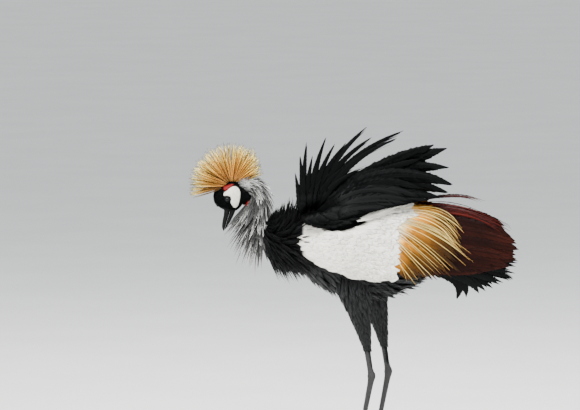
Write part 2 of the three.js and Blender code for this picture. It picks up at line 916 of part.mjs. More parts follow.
function tube(path, radii, sides, tip = null) {
  const rings = path.map(([x, y, z], j) => {
    const before = point(...path[Math.max(0, j - 1)]);
    const after = point(...path[Math.min(path.length - 1, j + 1)]);
    const along = after.sub(before).normalize();
    const side = along.clone().cross(point(0, 1, 0.001)).normalize();
    const other = along.clone().cross(side).normalize();
    const [deep, wide] = Array.isArray(radii[j]) ? radii[j] : [radii[j], radii[j]];
    return Array.from({ length: sides }, (_, k) => {
      const turn = (2 * Math.PI * k) / sides;
      return point(x, y, z)
        .addScaledVector(side, deep * Math.cos(turn))
        .addScaledVector(other, wide * Math.sin(turn));
    });
  });
  return loft(rings, tip);
}

// The knee is inside the flank, the hock behind the foot.
function legPath(side) {
  const ankle = FOOT_X[side];
  return {
    hip: [ankle - 8, side * 42, 470],
    thigh: [ankle - 4, side * 48, 420],
    calf: [ankle + 16, side * 50, 340],
    bare: [ankle + 27, side * 50, 286],
    hock: [ankle + 38, side * FOOT_Y, HOCK_Z],
    ankle: [ankle, side * FOOT_Y, ANKLE_Z],
  };
}

function thighForm(side, clear) {
  const { hip, thigh, calf, bare, hock } = legPath(side);
  const form = tube(
    [hip, thigh, calf, bare, hock],
    [[44, 26], [38, 25], [20, 16], [9, 8.5], [7, 7]],
    12,
  );
  return fused([form], clear).trimByPlane([0, 0, 1], HOCK_Z + 12 + GAP / 2);
}

function shankForm(side) {
  const [x, y, z] = legPath(side).hock;
  const [ax, ay, az] = legPath(side).ankle;
  const down = (share) => [lerp(x, ax, share), lerp(y, ay, share), lerp(z, az, share)];
  const form = tube(
    [[x - 1.5, y, z + 16], [x + 1, y, z + 3], down(0.08), down(0.5), down(0.9), down(1.02)],
    [[8, 7.6], [10, 8.4], [7.4, 6.4], [5.8, 5.2], [6.4, 5.8], [7.2, 6.6]],
    10,
  );
  return form
    .trimByPlane([0, 0, 1], az + GAP / 2)
    .trimByPlane([0, 0, -1], -(HOCK_Z + 12 - GAP / 2));
}

function footForm(side) {
  const [ax, ay, az] = legPath(side).ankle;
  const boss = tube(
    [[ax, ay, az + 2], [ax - 1, ay, 8], [ax - 1.5, ay, -3]],
    [[7.2, 6.6], [9.5, 9], [9, 9]],
    10,
  );
  const toes = TOES.map(([turn, length, thick]) => {
    const heading = radians(180 + turn * side);
    const at = (distance, height) => [
      ax + Math.cos(heading) * distance,
      ay + Math.sin(heading) * distance,
      height,
    ];
    return tube(
      [
        at(0, 9),
        at(length * 0.3, 4.8),
        at(length * 0.6, 4.6),
        at(length * 0.8, 3.4),
        at(length, 3.4),
      ],
      [thick, thick * 0.9, thick * 0.9, thick * 0.72, thick * 0.6],
      5,
      point(...at(length + CLAW_LENGTH, 1)),
    );
  });
  return fused([boss, ...toes])
    .trimByPlane([0, 0, 1], 0)
    .trimByPlane([0, 0, -1], -(az - GAP / 2));
}

// Colours.
const CHARCOAL = "#1d201f";
const SLATE = "#2a2d2d";
const PALE_GREY = "#9a9a95";
const WHITE = "#e6e2d6";
const GOLD = "#c08a45";
const CHESTNUT = "#4a201c";
const STRAW = "#c6a05e";
const BLACK = "#0e1010";
const RED = "#c0221f";
const HORN = "#26292b";
const IRIS = "#8fa0a4";

const root = new THREE.Group();
const add = (name, solid, colour, roughness = 0.8) =>
  root.add(meshOf(name, solid, colour, roughness));
const sides = { left: LEFT, right: RIGHT };

// Torso and head.
const torso = torsoForm(0);
const torsoClear = torsoForm(GAP);
const headClear = headForm(GAP);
const throatForm = (grow) => ball(THROAT_CENTRE, THROAT_RADII.clone().addScalar(grow), 10, 7);
const throatClear = throatForm(GAP);
const eyeForm = (side, grow) => evenBall(eyeCentre(side), EYE_RADIUS + grow, 10, 7);
const sockets = [eyeForm(LEFT, GAP), eyeForm(RIGHT, GAP)];
add("torso", torso, SLATE);
add("head", fused([headForm(0), throatForm(0), lidForm(LEFT), lidForm(RIGHT)], sockets), BLACK);
const billUpper = mandible(BILL_UPPER_STATIONS, [BILL_TIP_FORWARD, -3.6, 0]);
const billLower = mandible(BILL_LOWER_STATIONS, [BILL_TIP_FORWARD - 4, -5.2, 0]);
add("bill_upper", fused([billUpper], [headClear, nostril(LEFT), nostril(RIGHT)]), HORN, 0.45);
add("bill_lower", fused([billLower], [headClear, throatClear]), HORN, 0.45);
Object.entries(sides).forEach(([name, side]) => {
  add("eye_" + name, eyeForm(side, 0), IRIS, 0.15);
  add("cheek_" + name, cheekForm(side), WHITE, 0.6);
});
const wattle = tube(
  [[-266, 0, 636], [-267, 0, 624], [-269, 0, 614], [-270, 0, 607]],
  [[5, 7], [7, 9], [5.5, 7], [2.5, 3.5]],
  10,
);
add("wattle", fused([wattle], [headClear, throatClear]), RED, 0.5);

// Neck, in three lengths. The plumes of each lie over the next.
const upperNeck = [0.02, 0.3];
const middleNeck = [0.301, 0.62];
const lowerNeck = [0.621, 0.97];
const upperRoom = [neckTube(...upperNeck, 6, GAP), ...neckPlumes(UPPER_PLUMES, GAP)];
const middleRoom = neckPlumes(MIDDLE_PLUMES, GAP);
add(
  "neck_upper",
  fused([neckTube(...upperNeck, 6), ...neckPlumes(UPPER_PLUMES, 0)], [headClear, throatClear]),
  PALE_GREY,
);
add(
  "neck_middle",
  fused(
    [neckTube(...middleNeck, 6), ...neckPlumes(MIDDLE_PLUMES, 0)],
    [torsoClear, throatClear, ...upperRoom],
  ),
  PALE_GREY,
);
add(
  "neck_lower",
  fused(
    [neckTube(...lowerNeck, 6), ...neckPlumes(LOWER_PLUMES, 0)],
    [torsoClear, armForm(LEFT, GAP), armForm(RIGHT, GAP), ...middleRoom],
  ),
  CHARCOAL,
);
add(
  "crest",
  fused([crestPad(0), ...crestSpines(0)], [headForm(CHEEK_THICKNESS + 2 * GAP), ...upperRoom]),
  STRAW,
);

// Mantle and scapular plumes.
const slabBetween = (low, high) =>
  loft(
    [-400, 400].map((x) => [
      point(x, low, 400),
      point(x, high, 400),
      point(x, high, 700),
      point(x, low, 700),
    ]),
  );
const bed = mantleBed(0);
const mantlePlumes = (grow) => [
  ...shoulderPlumes(LEFT, MANTLE_PLUMES, grow),
  ...shoulderPlumes(RIGHT, MANTLE_PLUMES, grow),
];
const middleBed = bed.intersect(slabBetween(-MANTLE_HALF_WIDTH, MANTLE_HALF_WIDTH));
const neckRoom = [neckTube(...lowerNeck, 6, GAP), ...neckPlumes(LOWER_PLUMES, GAP)];
add("mantle", fused([middleBed, ...mantlePlumes(0)], [torsoClear, ...neckRoom]), CHARCOAL);
const mantleRoom = mantlePlumes(GAP);

// Wings, each an arm with its white coverts, and three layers of longer feathers.
Object.entries(sides).forEach(([name, side]) => {
  const edge = MANTLE_HALF_WIDTH + GAP;
  const half = bed.intersect(side === LEFT ? slabBetween(-200, -edge) : slabBetween(edge, 200));
  const plumes = (grow) => shoulderPlumes(side, SCAPULAR_PLUMES, grow);
  const whites = WHITE_FANS.flatMap((fan) => wingFan(side, fan, 0));
  add(
    "scapulars_" + name,
    fused([half, ...plumes(0)], [torsoClear, ...neckRoom, ...mantleRoom]),
    CHARCOAL,
  );
  const room = [torsoClear, mantleBed(GAP), bedForm(side, ALL_LAYERS, GAP)];
  add("wing_" + name, fused([armForm(side, 0), ...whites], room), WHITE);
  const fans = { coverts: COVERT_FAN, secondaries: SECONDARY_FAN, primaries: PRIMARY_FAN };
  const colours = { coverts: GOLD, secondaries: CHESTNUT, primaries: BLACK };
  Object.entries(fans).forEach(([layer, fan]) => {
    const vanes = wingFan(side, fan, 0);
    add(`wing_${name}_${layer}`, fused([bedForm(side, LAYERS[layer], 0), ...vanes]), colours[layer]);
  });
  const clear = [torsoClear, armForm(side, GAP)];
  add("thigh_" + name, thighForm(side, clear), SLATE);
  add("shank_" + name, shankForm(side), HORN, 0.6);
  add("foot_" + name, footForm(side), HORN, 0.6);
});
add("tail", tailForm(torsoClear), BLACK);

// The origin goes under the middle of the whole.
const box = new THREE.Box3().setFromObject(root, true);
const middle = box.getCenter(new THREE.Vector3());
root.children.forEach((mesh) => mesh.geometry.translate(-middle.x, -middle.y, -box.min.z));

export default root;
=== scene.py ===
from math import cos, pi, radians, sin

import bmesh
import bpy
import numpy as np
from bpy.props import FloatProperty, FloatVectorProperty, IntProperty
from mathutils import Matrix, Vector


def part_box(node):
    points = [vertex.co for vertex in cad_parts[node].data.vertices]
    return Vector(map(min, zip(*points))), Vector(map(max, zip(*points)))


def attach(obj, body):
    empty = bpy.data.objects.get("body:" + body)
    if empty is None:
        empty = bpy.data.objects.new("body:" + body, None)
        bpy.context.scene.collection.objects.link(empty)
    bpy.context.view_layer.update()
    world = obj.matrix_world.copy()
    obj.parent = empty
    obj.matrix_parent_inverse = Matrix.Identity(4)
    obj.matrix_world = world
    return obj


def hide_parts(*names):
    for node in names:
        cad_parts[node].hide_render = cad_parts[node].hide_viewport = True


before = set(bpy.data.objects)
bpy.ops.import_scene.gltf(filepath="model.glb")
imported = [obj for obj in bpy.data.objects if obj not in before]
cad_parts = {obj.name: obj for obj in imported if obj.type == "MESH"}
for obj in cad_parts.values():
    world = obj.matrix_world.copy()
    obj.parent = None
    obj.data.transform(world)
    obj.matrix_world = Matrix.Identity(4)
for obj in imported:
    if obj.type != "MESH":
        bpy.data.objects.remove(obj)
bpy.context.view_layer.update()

bl_info = {
    "name": "Grey crowned crane",
    "version": (1, 0, 0),
    "blender": (4, 5, 0),
    "location": "3D View > Sidebar > Crane",
    "description": "Makes the skin, feathers, bill, eyes and legs of a life-size crane",
    "category": "Add Mesh",
}

MM = 0.001
LEFT, RIGHT = -1, 1
SIDES = {"left": LEFT, "right": RIGHT}


def unit(v):
    v = np.asarray(v, float)
    return v / np.maximum(np.linalg.norm(v, axis=-1, keepdims=True), 1e-9)


def mix(low, high, share):
    return low + (high - low) * share


def ease(x, low, high):
    t = np.clip((x - low) / (high - low), 0, 1)
    return t * t * (3 - 2 * t)


def through(points, share):
    """Places on a smooth curve through a list of points, at shares 0 to 1 of the list."""
    p = np.asarray(points, float)
    last = len(p) - 1
    s = np.clip(np.asarray(share, float), 0, 1) * last
    i = np.minimum(s.astype(int), last - 1)
    f = (s - i)[..., None]
    a, b, c, d = (p[np.clip(i + k, 0, last)] for k in (-1, 0, 1, 2))
    return 0.5 * (2 * b + (c - a) * f + (2 * a - 5 * b + 4 * c - d) * f**2 + (3 * b - a - 3 * c + d) * f**3)


# Head: where its middle is, and the way the bill points in the XZ plane.
HEAD_CENTRE = np.array((-298.0, 0, 650))
HEAD_FORWARD = unit((-0.244, 0, -0.97))
HEAD_UP = unit((-0.97, 0, 0.244))
OUTWARD = np.array((0.0, 1, 0))
EYE_RADIUS = 6.5
EYE_FORWARD, EYE_UP, EYE_OUT = 9, 7, 17.5


def head_point(forward, up, out):
    f, u, o = (np.asarray(v, float)[..., None] for v in (forward, up, out))
    return HEAD_CENTRE + f * HEAD_FORWARD + u * HEAD_UP + o * OUTWARD


def head_measures(points):
    """How far forward, up and out of the head's middle points are."""
    away = points - HEAD_CENTRE
    return away @ HEAD_FORWARD, away @ HEAD_UP, away @ OUTWARD


# The frame puts the origin under the middle of the whole crane. The left eye shows how far.
_eye_box = [np.array(corner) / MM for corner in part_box("eye_left")]
SHIFT = (_eye_box[0] + _eye_box[1]) / 2 - head_point(EYE_FORWARD, EYE_UP, LEFT * EYE_OUT)
SHIFT[2] = 0


def placed(points):
    return (np.asarray(points, float) + SHIFT) * MM


# Head stations: [forward, crown, throat, half width].
HEAD_STATIONS = [
    [-36, 0, -6, 3], [-34, 7, -13, 9], [-31, 13, -19, 13], [-25, 21, -25, 17],
    [-15, 34.5, -31, 20.5], [-3, 41, -34, 22], [9, 41.5, -33, 22], [18, 38.5, -30, 20],
    [25, 34.5, -26, 17], [31, 27.5, -21, 13.5], [35, 19, -16, 10], [37, 11, -12, 7.5],
]
THROAT_CENTRE = np.array((-262.0, 0, 648))
THROAT_RADII = (17, 15, 21)
# Markings on the side of the head: [forward, up].
CHEEK_OUTLINE = [
    [-5.5, 18], [-9.7, 13.6], [-18, 7.5], [-24.4, 0.3], [-25.3, -8.4], [-20.3, -15.5],
    [-12.5, -20], [2.8, -22.5], [18, -22], [25.5, -16], [21, -8], [14.5, -3], [7, -2.5],
    [1.5, 1.2], [0.6, 8], [2, 13], [3, 16.2], [-1, 18.4],
]
BROW_OUTLINE = [
    [-9, 19], [-10.2, 14.9], [-17.5, 9.3], [-23.5, 4.2], [-28.5, 0.5], [-29, 5.5], [-24.5, 13.5],
    [-19.5, 21.5], [-13, 22.5],
]

# Bill stations: [forward, upper edge, lower edge, half width].
BILL_UPPER = [
    [26, 12.5, -6.8, 9], [38, 8, -6.2, 8], [49, 5.9, -6, 6.9], [61, 5.2, -5.4, 5.4],
    [72, 4.1, -4.8, 4], [80, 2.2, -4.5, 2.8], [85, -1, -4.4, 1.6], [87, -3.2, -4.3, 0.4],
]
BILL_LOWER = [
    [24, -7.1, -19.5, 8.6], [38, -6.5, -18.6, 7.4], [49, -6.3, -16.6, 6.2], [61, -5.7, -13.6, 5],
    [72, -5.1, -10.2, 3.6], [80, -4.8, -7.4, 2.2], [84, -5, -5.6, 0.5],
]

# Torso stations: [x, middle z, half height, half width].
TORSO_STATIONS = [
    [-158, 540, 8, 8], [-152, 540, 30, 28], [-140, 539, 46, 42], [-120, 536, 64, 57],
    [-84, 530, 84, 74], [-36, 521, 98, 85], [24, 516, 102, 88], [84, 517, 96, 83],
    [136, 521, 80, 68], [180, 525, 56, 48], [214, 528, 32, 32], [226, 528, 22, 26],
    [236, 526, 6, 8],
]
NARROWER_KEEL = 0.1

NECK_POINTS = [
    [-281, 0, 664], [-272, 0, 672], [-254, 0, 680], [-233, 0, 669], [-224, 0, 643],
    [-226, 0, 606], [-228, 0, 573], [-212, 0, 546], [-178, 0, 534], [-140, 0, 536],
    [-100, 0, 538],
]
NECK_HEAD_RADIUS = 19
NECK_MIDDLE_RADIUS = 20
NECK_BASE_RADIUS = 52
NECK_EVEN_SHARE = 0.5  # the neck is slender down to here, and widens from here to its base
CURVE_STEPS = 400


class Path:
    """A smooth curve, read by its share of length."""

    def __init__(self, points):
        self.fine = through(points, np.linspace(0, 1, CURVE_STEPS))
        steps = np.linalg.norm(np.diff(self.fine, axis=0), axis=1)
        self.share = np.concatenate(([0], np.cumsum(steps))) / steps.sum()

    def at(self, t):
        t = np.asarray(t, float)
        return np.stack([np.interp(t, self.share, self.fine[:, k]) for k in range(3)], -1)

    def along(self, t):
        t = np.asarray(t, float)
        return unit(self.at(np.clip(t + 0.01, 0, 1)) - self.at(np.clip(t - 0.01, 0, 1)))


NECK = Path(NECK_POINTS)


def neck_radius(t):
    """Slender from the head down, and wide where it meets the torso."""
    low = np.clip((np.asarray(t) - NECK_EVEN_SHARE) / 0.4, 0, 1)
    return mix(mix(NECK_HEAD_RADIUS, NECK_MIDDLE_RADIUS, t), NECK_BASE_RADIUS, low**1.6)


def out_of_neck(t, angle):
    """The way out of the neck: angle 0 is its hind side, pi its throat side."""
    along = NECK.along(t)
    return np.stack([-along[..., 2] * np.cos(angle), np.sin(angle), along[..., 0] * np.cos(angle)], -1)


def neck_point(t, angle, grow=0):
    return NECK.at(t) + out_of_neck(t, angle) * (neck_radius(t) + grow)[..., None]


def torso_point(x, angle, grow=0):
    """A place on the torso: angle 0 is its right side and pi / 2 its back."""
    stations = np.array(TORSO_STATIONS, float)
    zc, high, wide = (np.interp(x, stations[:, 0], stations[:, k]) for k in (1, 2, 3))
    egg = 1 + NARROWER_KEEL * np.sin(angle)
    return np.stack(
        [x + 0 * angle, np.cos(angle) * (wide + grow) * egg, zc + np.sin(angle) * (high + grow)], -1
    )


# Folded wing: a skin over its outer face, as wide as the wing stands off the body.
WING_HALF_WIDTH = 113
WING_WIDEST_X = 10
WING_FRONT_LENGTH = 172
WING_BACK_LENGTH = 450
WING_HALF_DEPTH = 120
WING_MIDDLE_X, WING_MIDDLE_Z = -132, 540  # a place on the line where the wing bulges most
WING_MIDDLE_FALL = 0.1  # how steeply that line falls to the rear
WING_BULGE = 0.5
ARM_THICKNESS = 34
# The white arm seen from the side: [x, lower edge, upper edge].
ARM_OUTLINE = [
    [-146, 548, 572], [-138, 524, 584], [-120, 505, 586], [-90, 489, 578],
    [-40, 473, 574], [20, 460, 594], [70, 456, 622], [100, 458, 634],
]


def wing_reach(x):
    x = np.asarray(x, float)
    before = np.clip((WING_WIDEST_X - x) / WING_FRONT_LENGTH, 0, 1)
    behind = np.clip((x - WING_WIDEST_X) / WING_BACK_LENGTH, 0, 1)
    return WING_HALF_WIDTH * np.where(
        x < WING_WIDEST_X, np.sqrt(1 - before**2), np.cos(pi / 2 * behind**1.3)
    )


def wing_across(x, z):
    """How far above the wing's middle line places are, in half depths."""
    return (z - (WING_MIDDLE_Z - WING_MIDDLE_FALL * (x - WING_MIDDLE_X))) / WING_HALF_DEPTH


def wing_face(x, z):
    """How far the wing's outer face is from the middle plane."""
    return wing_reach(x) * (1 - WING_BULGE * wing_across(x, z) ** 2)


def wing_skin(side, x, z, lift):
    return np.stack([x + 0 * z, side * (wing_face(x, z) + lift), z + 0 * x], -1)


def arm_edges(x):
    """The heights of the white arm's lower and upper edge."""
    outline = np.array(ARM_OUTLINE, float)
    return [np.interp(x, outline[:, 0], outline[:, k]) for k in (1, 2)]


# Mantle: the bed of the raised plumes, over the shoulders.
MANTLE_CENTRE = np.array((-84.0, 0, 584))
MANTLE_RADII = (58, 84, 42)
CREST_CENTRE = np.array((-296.0, 0, 674))
# The cloak is the face that the raised plumes stand on. It closes in between two heights.
CLOAK_LOW_Z, CLOAK_HIGH_Z = 600, 820
CLOAK_FRONT_X = -70
CLOAK_HALF_WIDTH_LOW, CLOAK_HALF_WIDTH_HIGH = 60, 62
CLOAK_INNER_LOW, CLOAK_INNER_HIGH = 6, 9


def cloak_skin(side, x, z, inner, lift):
    """The raised plumes stand on the wing and lean in over the back, inner 0 to 1."""
    rise = ease(z, CLOAK_LOW_Z, CLOAK_HIGH_Z)
    across = ((z - WING_MIDDLE_Z) / WING_HALF_DEPTH) ** 2
    low = wing_reach(np.maximum(x, CLOAK_FRONT_X)) * (1 - WING_BULGE * across * (1 - rise))
    outermost = mix(np.maximum(low, CLOAK_HALF_WIDTH_LOW), CLOAK_HALF_WIDTH_HIGH, rise)
    innermost = mix(CLOAK_INNER_LOW, CLOAK_INNER_HIGH, rise)
    return np.stack([x, side * (mix(outermost, innermost, inner) + lift), z], -1)


FOOT_X = {LEFT: 2, RIGHT: 44}
FOOT_Y = 50
HOCK_Z = 214
ANKLE_Z = 15


def leg_path(side):
    """The middle of each joint of a leg, from the hip down."""
    ankle = FOOT_X[side]
    return {
        "hip": (ankle - 8, side * 42, 470),
        "thigh": (ankle - 4, side * 48, 420),
        "calf": (ankle + 16, side * 50, 340),
        "bare": (ankle + 27, side * 50, 286),
        "hock": (ankle + 38, side * FOOT_Y, HOCK_Z),
        "ankle": (ankle, side * FOOT_Y, ANKLE_Z),
    }


# The skin's own unwrap: how far along the crane from crown to rump, and the angle round it.
SPINE = Path(
    [HEAD_CENTRE + 30 * HEAD_UP, HEAD_CENTRE] + NECK_POINTS[1:9]
    + [[x, 0, z] for x, z, _, _ in TORSO_STATIONS[3:]]
)
SPINE_STEPS = 240
AT_ONCE = 4000  # points measured at one time, to spare memory


def nearest(points, line):
    """Which place on a line (m, 3) each point is nearest to."""
    groups = np.array_split(points, max(1, len(points) // AT_ONCE))
    return np.concatenate([((p[:, None] - line[None]) ** 2).sum(-1).argmin(1) for p in groups])


def unwrapped(points):
    """Where points lie on the crane's own unwrap, from 0.01 to 0.99 both ways."""
    shares = np.linspace(0, 1, SPINE_STEPS)
    line = SPINE.at(shares)
    flat = points.reshape(-1, 3)
    near = nearest(flat, line)
    along = SPINE.along(shares)[near]
    away = flat - line[near]
    over = np.cross(along, OUTWARD)
    angle = np.arctan2((away * OUTWARD).sum(-1), (away * over).sum(-1))
    uv = np.stack([shares[near], angle / (2 * pi) + 0.5], -1)
    return (0.01 + 0.98 * uv).reshape(points.shape[:-1] + (2,))


# Vanes: closed thin blades, made many at a time as arrays.
DIAMOND = (np.array([-1, 0, 1, 0.0]), np.array([0, 1, 0, -1.0]))
BROAD = (
    np.array([-1, -0.86, 0, 0.86, 1, 0.86, 0, -0.86]),
    np.array([0, 0.9, 1.7, 0.9, 0, -0.9, -1, -0.9]),
)
SLIVER = (np.array([-1, 0, 1.0]), np.array([-0.4, 1, -0.4]))
PATCH = 0.003  # across a vane on the unwrap that its colours are kept on


def lance(t):
    """Widest at a third, drawn out to a fine point."""
    return np.where(t < 0.35, mix(0.4, 1, t / 0.35), np.clip((1 - t) / 0.65, 0, 1) ** 0.85)


def spike(t):
    """Narrow and drawn out long."""
    return np.where(t < 0.3, mix(0.5, 1, t / 0.3), np.clip((1 - t) / 0.7, 0, 1) ** 0.75)


def leaf(t):
    """Broad in the middle, with a sharp end."""
    return np.where(t < 0.4, mix(0.45, 1, t / 0.4), np.clip(1 - ((t - 0.4) / 0.6) ** 2.3, 0, 1) ** 0.8)


def spoon(t):
    """Broad, with a rounded end."""
    return np.where(t < 0.3, mix(0.45, 1, t / 0.3), np.sqrt(np.clip(1 - ((t - 0.3) / 0.7) ** 3.2, 0, 1)))


def bristle(t):
    """Stout, and tapered over its outer half."""
    return np.where(t < 0.7, mix(0.6, 1, t / 0.7), np.clip(1.05 - t, 0, 1) / 0.35)


def strand(t):
    """Even, and fine at the end."""
    return np.clip(1.05 - t, 0, 1) ** 0.35


def bezier(root, bend, tip, count):
    t = np.linspace(0, 1, count)[None, :, None]
    return (1 - t) ** 2 * root[:, None] + 2 * t * (1 - t) * bend[:, None] + t**2 * tip[:, None]


class Vanes:
    """Like vanes along paths (n, m, 3), with the way that their flat side faces."""

    def __init__(self, path, face, width, shape, tint, tip_share=0.03):
        n, m, _ = path.shape
        self.path = path
        self.t = np.linspace(0, 1, m)
        self.tint = np.broadcast_to(np.asarray(tint, float), (n,))
        if face.ndim == 2:
            face = np.broadcast_to(face[:, None], (n, m, 3))
        along = unit(np.gradient(path, axis=1))
        self.side = unit(np.cross(along, face))
        self.up = np.cross(self.side, along)
        width = np.broadcast_to(np.asarray(width, float), (n,))
        self.half = width[:, None] / 2 * np.maximum(shape(self.t), tip_share)[None]
        self.length = np.linalg.norm(np.diff(path, axis=1), axis=2).sum(1)
        self.along_uv = np.broadcast_to(self.t[None], (n, m))
        self.across_uv = np.full((n, m), 0.5)
        self.across_half = 0.5

    def sample(self, values, t):
        """Values along each vane at shares t (n, k), between its rings."""
        m = len(self.t)
        s = np.clip(t, 0, 1) * (m - 1)
        i = np.minimum(s.astype(int), m - 2)
        f = s - i
        rows = np.arange(len(values))[:, None]
        low, high = values[rows, i], values[rows, i + 1]
        if values.ndim == 3:
            f = f[..., None]
        return low + (high - low) * f

    def off(self, t, out, rise, camber):
        """Places at shares t, out to a side of the shaft and down with the vane's own curve."""
        drop = camber * out**2 / np.maximum(self.sample(self.half, t), 0.8)
        across = self.sample(self.side, t) * out[..., None]
        return self.sample(self.path, t) + across + self.sample(self.up, t) * (rise - drop)[..., None]


BARB_RINGS = 3
BARB_TINT = 0.12  # how much a barb's tint may differ from its feather's


def barbs(vanes, count, rng, over=1.12, slant=1.7, width=1.7, low=0.0, high=0.88, camber=0.0, lift=0.35):
    """Slivers that leave the shaft on both sides, slant to its tip and end past its edge."""
    n = len(vanes.path)
    made = []
    for side in (-1, 1):
        t0 = low + (high - low) * (np.arange(count) + rng.uniform(0.1, 0.9, (n, count))) / count
        half = vanes.sample(vanes.half, t0)
        ahead = slant * np.maximum(half, 0.6) / vanes.length[:, None]
        t1 = np.minimum(t0 + ahead * rng.uniform(0.85, 1.2, (n, count)), 1.0)
        tm = mix(t0, t1, 0.45)
        reach = vanes.sample(vanes.half, t1) * over * rng.uniform(0.93, 1.12, (n, count)) + 0.25
        inner = vanes.sample(vanes.half, tm) * 0.6
        past = (1 - t1) < 1e-6
        spread = rng.uniform(-0.6, 0.6, (n, count)) * lift
        root = vanes.off(t0, 0 * half, 0 * half, camber)
        bend = vanes.off(tm, side * inner, 0 * half, camber)
        tip = vanes.off(t1, side * reach, spread, camber)
        tip += np.where(past, 1.0, 0.0)[..., None] * (tip - bend) * 0.15
        face = vanes.sample(vanes.up, tm)
        path = bezier(root.reshape(-1, 3), bend.reshape(-1, 3), tip.reshape(-1, 3), BARB_RINGS)
        wide = np.minimum(vanes.length[:, None] / count * width, 0.9 * vanes.sample(vanes.half, tm) + 0.4)
        tint = np.repeat(vanes.tint, count) + rng.uniform(-BARB_TINT, BARB_TINT, n * count)
        blade = Vanes(path, face.reshape(-1, 3), wide.ravel(), strand, np.clip(tint, 0, 1))
        share = np.linspace(0, 1, BARB_RINGS)[None]
        blade.along_uv = mix(t0.ravel()[:, None], t1.ravel()[:, None], share)
        blade.across_uv = 0.5 + side * 0.47 * share * np.ones((n * count, 1))
        blade.across_half = 0.03
        made.append(blade)
    return made


class Plumage:
    """The vanes of one piece, gathered and then made one mesh."""

    def __init__(self):
        self.points, self.uvs, self.bake, self.tints = [], [], [], []
        self.loops, self.starts = [], []
        self.count = self.corners = 0

    def add(self, vanes, section, thick, camber=0.0, spots=None):
        """Closed blades. Their bake patches lie at their roots, or at the spots given."""
        across, height = section
        n, m, _ = vanes.path.shape
        k = len(across)
        half = vanes.half[..., None] * across
        rise = thick * height * (1 - 0.7 * vanes.t[None, :, None])
        rise = rise - camber * vanes.half[..., None] * across**2
        points = vanes.path[:, :, None] + vanes.side[:, :, None] * half[..., None]
        points = points + vanes.up[:, :, None] * rise[..., None]
        uv = np.empty((n, m, k, 2))
        uv[..., 0] = vanes.across_uv[..., None] + vanes.across_half * across
        uv[..., 1] = vanes.along_uv[..., None]
        spot = unwrapped(vanes.path[:, 0]) if spots is None else spots
        bake = spot[:, None, None] + (uv - 0.5) * PATCH
        base = self.count + (np.arange(n) * m * k)[:, None, None]
        ring = (np.arange(m - 1) * k)[None, :, None]
        here = np.arange(k)[None, None]
        after = (here + 1) % k
        low = base + ring
        quads = np.stack([low + here, low + after, low + k + after, low + k + here], -1)
        caps = base[:, 0] + np.arange(k)[None, ::-1]
        ends = base[:, 0] + (m - 1) * k + np.arange(k)[None]
        for faces, corners in ((quads.reshape(-1, 4), 4), (caps, k), (ends, k)):
            self.loops.append(faces.ravel())
            self.starts.append(self.corners + np.arange(len(faces)) * corners)
            self.corners += faces.size
        self.points.append(points.reshape(-1, 3))
        self.uvs.append(uv.reshape(-1, 2))
        self.bake.append(bake.reshape(-1, 2))
        self.tints.append(np.repeat(vanes.tint, m * k))
        self.count += n * m * k
        return self

    def add_barbs(self, vanes, count, rng, thick=0.16, **shape):
        for blade in barbs(vanes, count, rng, **shape):
            self.add(blade, SLIVER, thick)
        return self

    def add_plumes(self, vanes, rng, count, over, camber=0.12, lift=0.5, low=0.04):
        """Large feathers: the vanes and the barbs over them, which make their edges."""
        self.add(vanes, BROAD, 0.45, camber)
        return self.add_barbs(vanes, count, rng, over=over, slant=2.0, width=1.5, camber=camber, low=low,
                              lift=lift)

    def build(self, name, material, slot, nodes=()):
        loops = np.concatenate(self.loops).astype(np.int32)
        mesh = bpy.data.meshes.new(name)
        mesh.vertices.add(self.count)
        mesh.vertices.foreach_set("co", placed(np.concatenate(self.points)).ravel())
        mesh.loops.add(len(loops))
        mesh.loops.foreach_set("vertex_index", loops)
        starts = np.concatenate(self.starts).astype(np.int32)
        mesh.polygons.add(len(starts))
        mesh.polygons.foreach_set("loop_start", starts)
        mesh.update(calc_edges=True)
        for layer, values in (("Vane", self.uvs), ("OFBake", self.bake)):
            uv = mesh.uv_layers.new(name=layer)
            uv.data.foreach_set("uv", np.concatenate(values)[loops].astype(np.float32).ravel())
        tint = mesh.attributes.new("Tint", "FLOAT", "POINT")
        tint.data.foreach_set("value", np.concatenate(self.tints).astype(np.float32))
        mesh.shade_smooth()
        return piece(name, mesh, material, nodes)


def piece(name, mesh, material, nodes=()):
    """An object of the crane, riding on its one body, in place of CAD nodes."""
    obj = bpy.data.objects.new(name, mesh)
    bpy.context.scene.collection.objects.link(obj)
    mesh.materials.append(material)
    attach(obj, "root")
    if nodes:
        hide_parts(*nodes)
    return obj


# Smooth closed forms.


def loft(rings):
    """A closed bmesh over rings (m, k, 3), in millimetres. Rings may shrink to a point."""
    rings = np.asarray(rings, float)
    m, k, _ = rings.shape
    bm = bmesh.new()
    bmesh.ops.create_grid(bm, x_segments=k, y_segments=m - 1, size=1)
    for v in bm.verts:
        i = round((v.co.x + 1) / 2 * k) % k
        j = round((v.co.y + 1) / 2 * (m - 1))
        v.co = rings[j, i]
    bmesh.ops.remove_doubles(bm, verts=bm.verts, dist=1e-4)
    bmesh.ops.holes_fill(bm, edges=bm.edges, sides=0)
    bmesh.ops.recalc_face_normals(bm, faces=bm.faces)
    return bm


def turns(count):
    return np.arange(count) * 2 * pi / count


def ball(centre, radii, segments=24):
    bm = bmesh.new()
    bmesh.ops.create_uvsphere(bm, u_segments=segments, v_segments=segments // 2, radius=1)
    matrix = Matrix.Translation(centre) @ Matrix.Diagonal(Vector(radii).to_4d())
    bmesh.ops.transform(bm, matrix=matrix, verts=bm.verts)
    return bm


def joined(meshes, name):
    """One mesh of several, which it uses up."""
    whole = bmesh.new()
    for mesh in meshes:
        whole.from_mesh(mesh)
        bpy.data.meshes.remove(mesh)
    made = bpy.data.meshes.new(name)
    whole.to_mesh(made)
    whole.free()
    return made


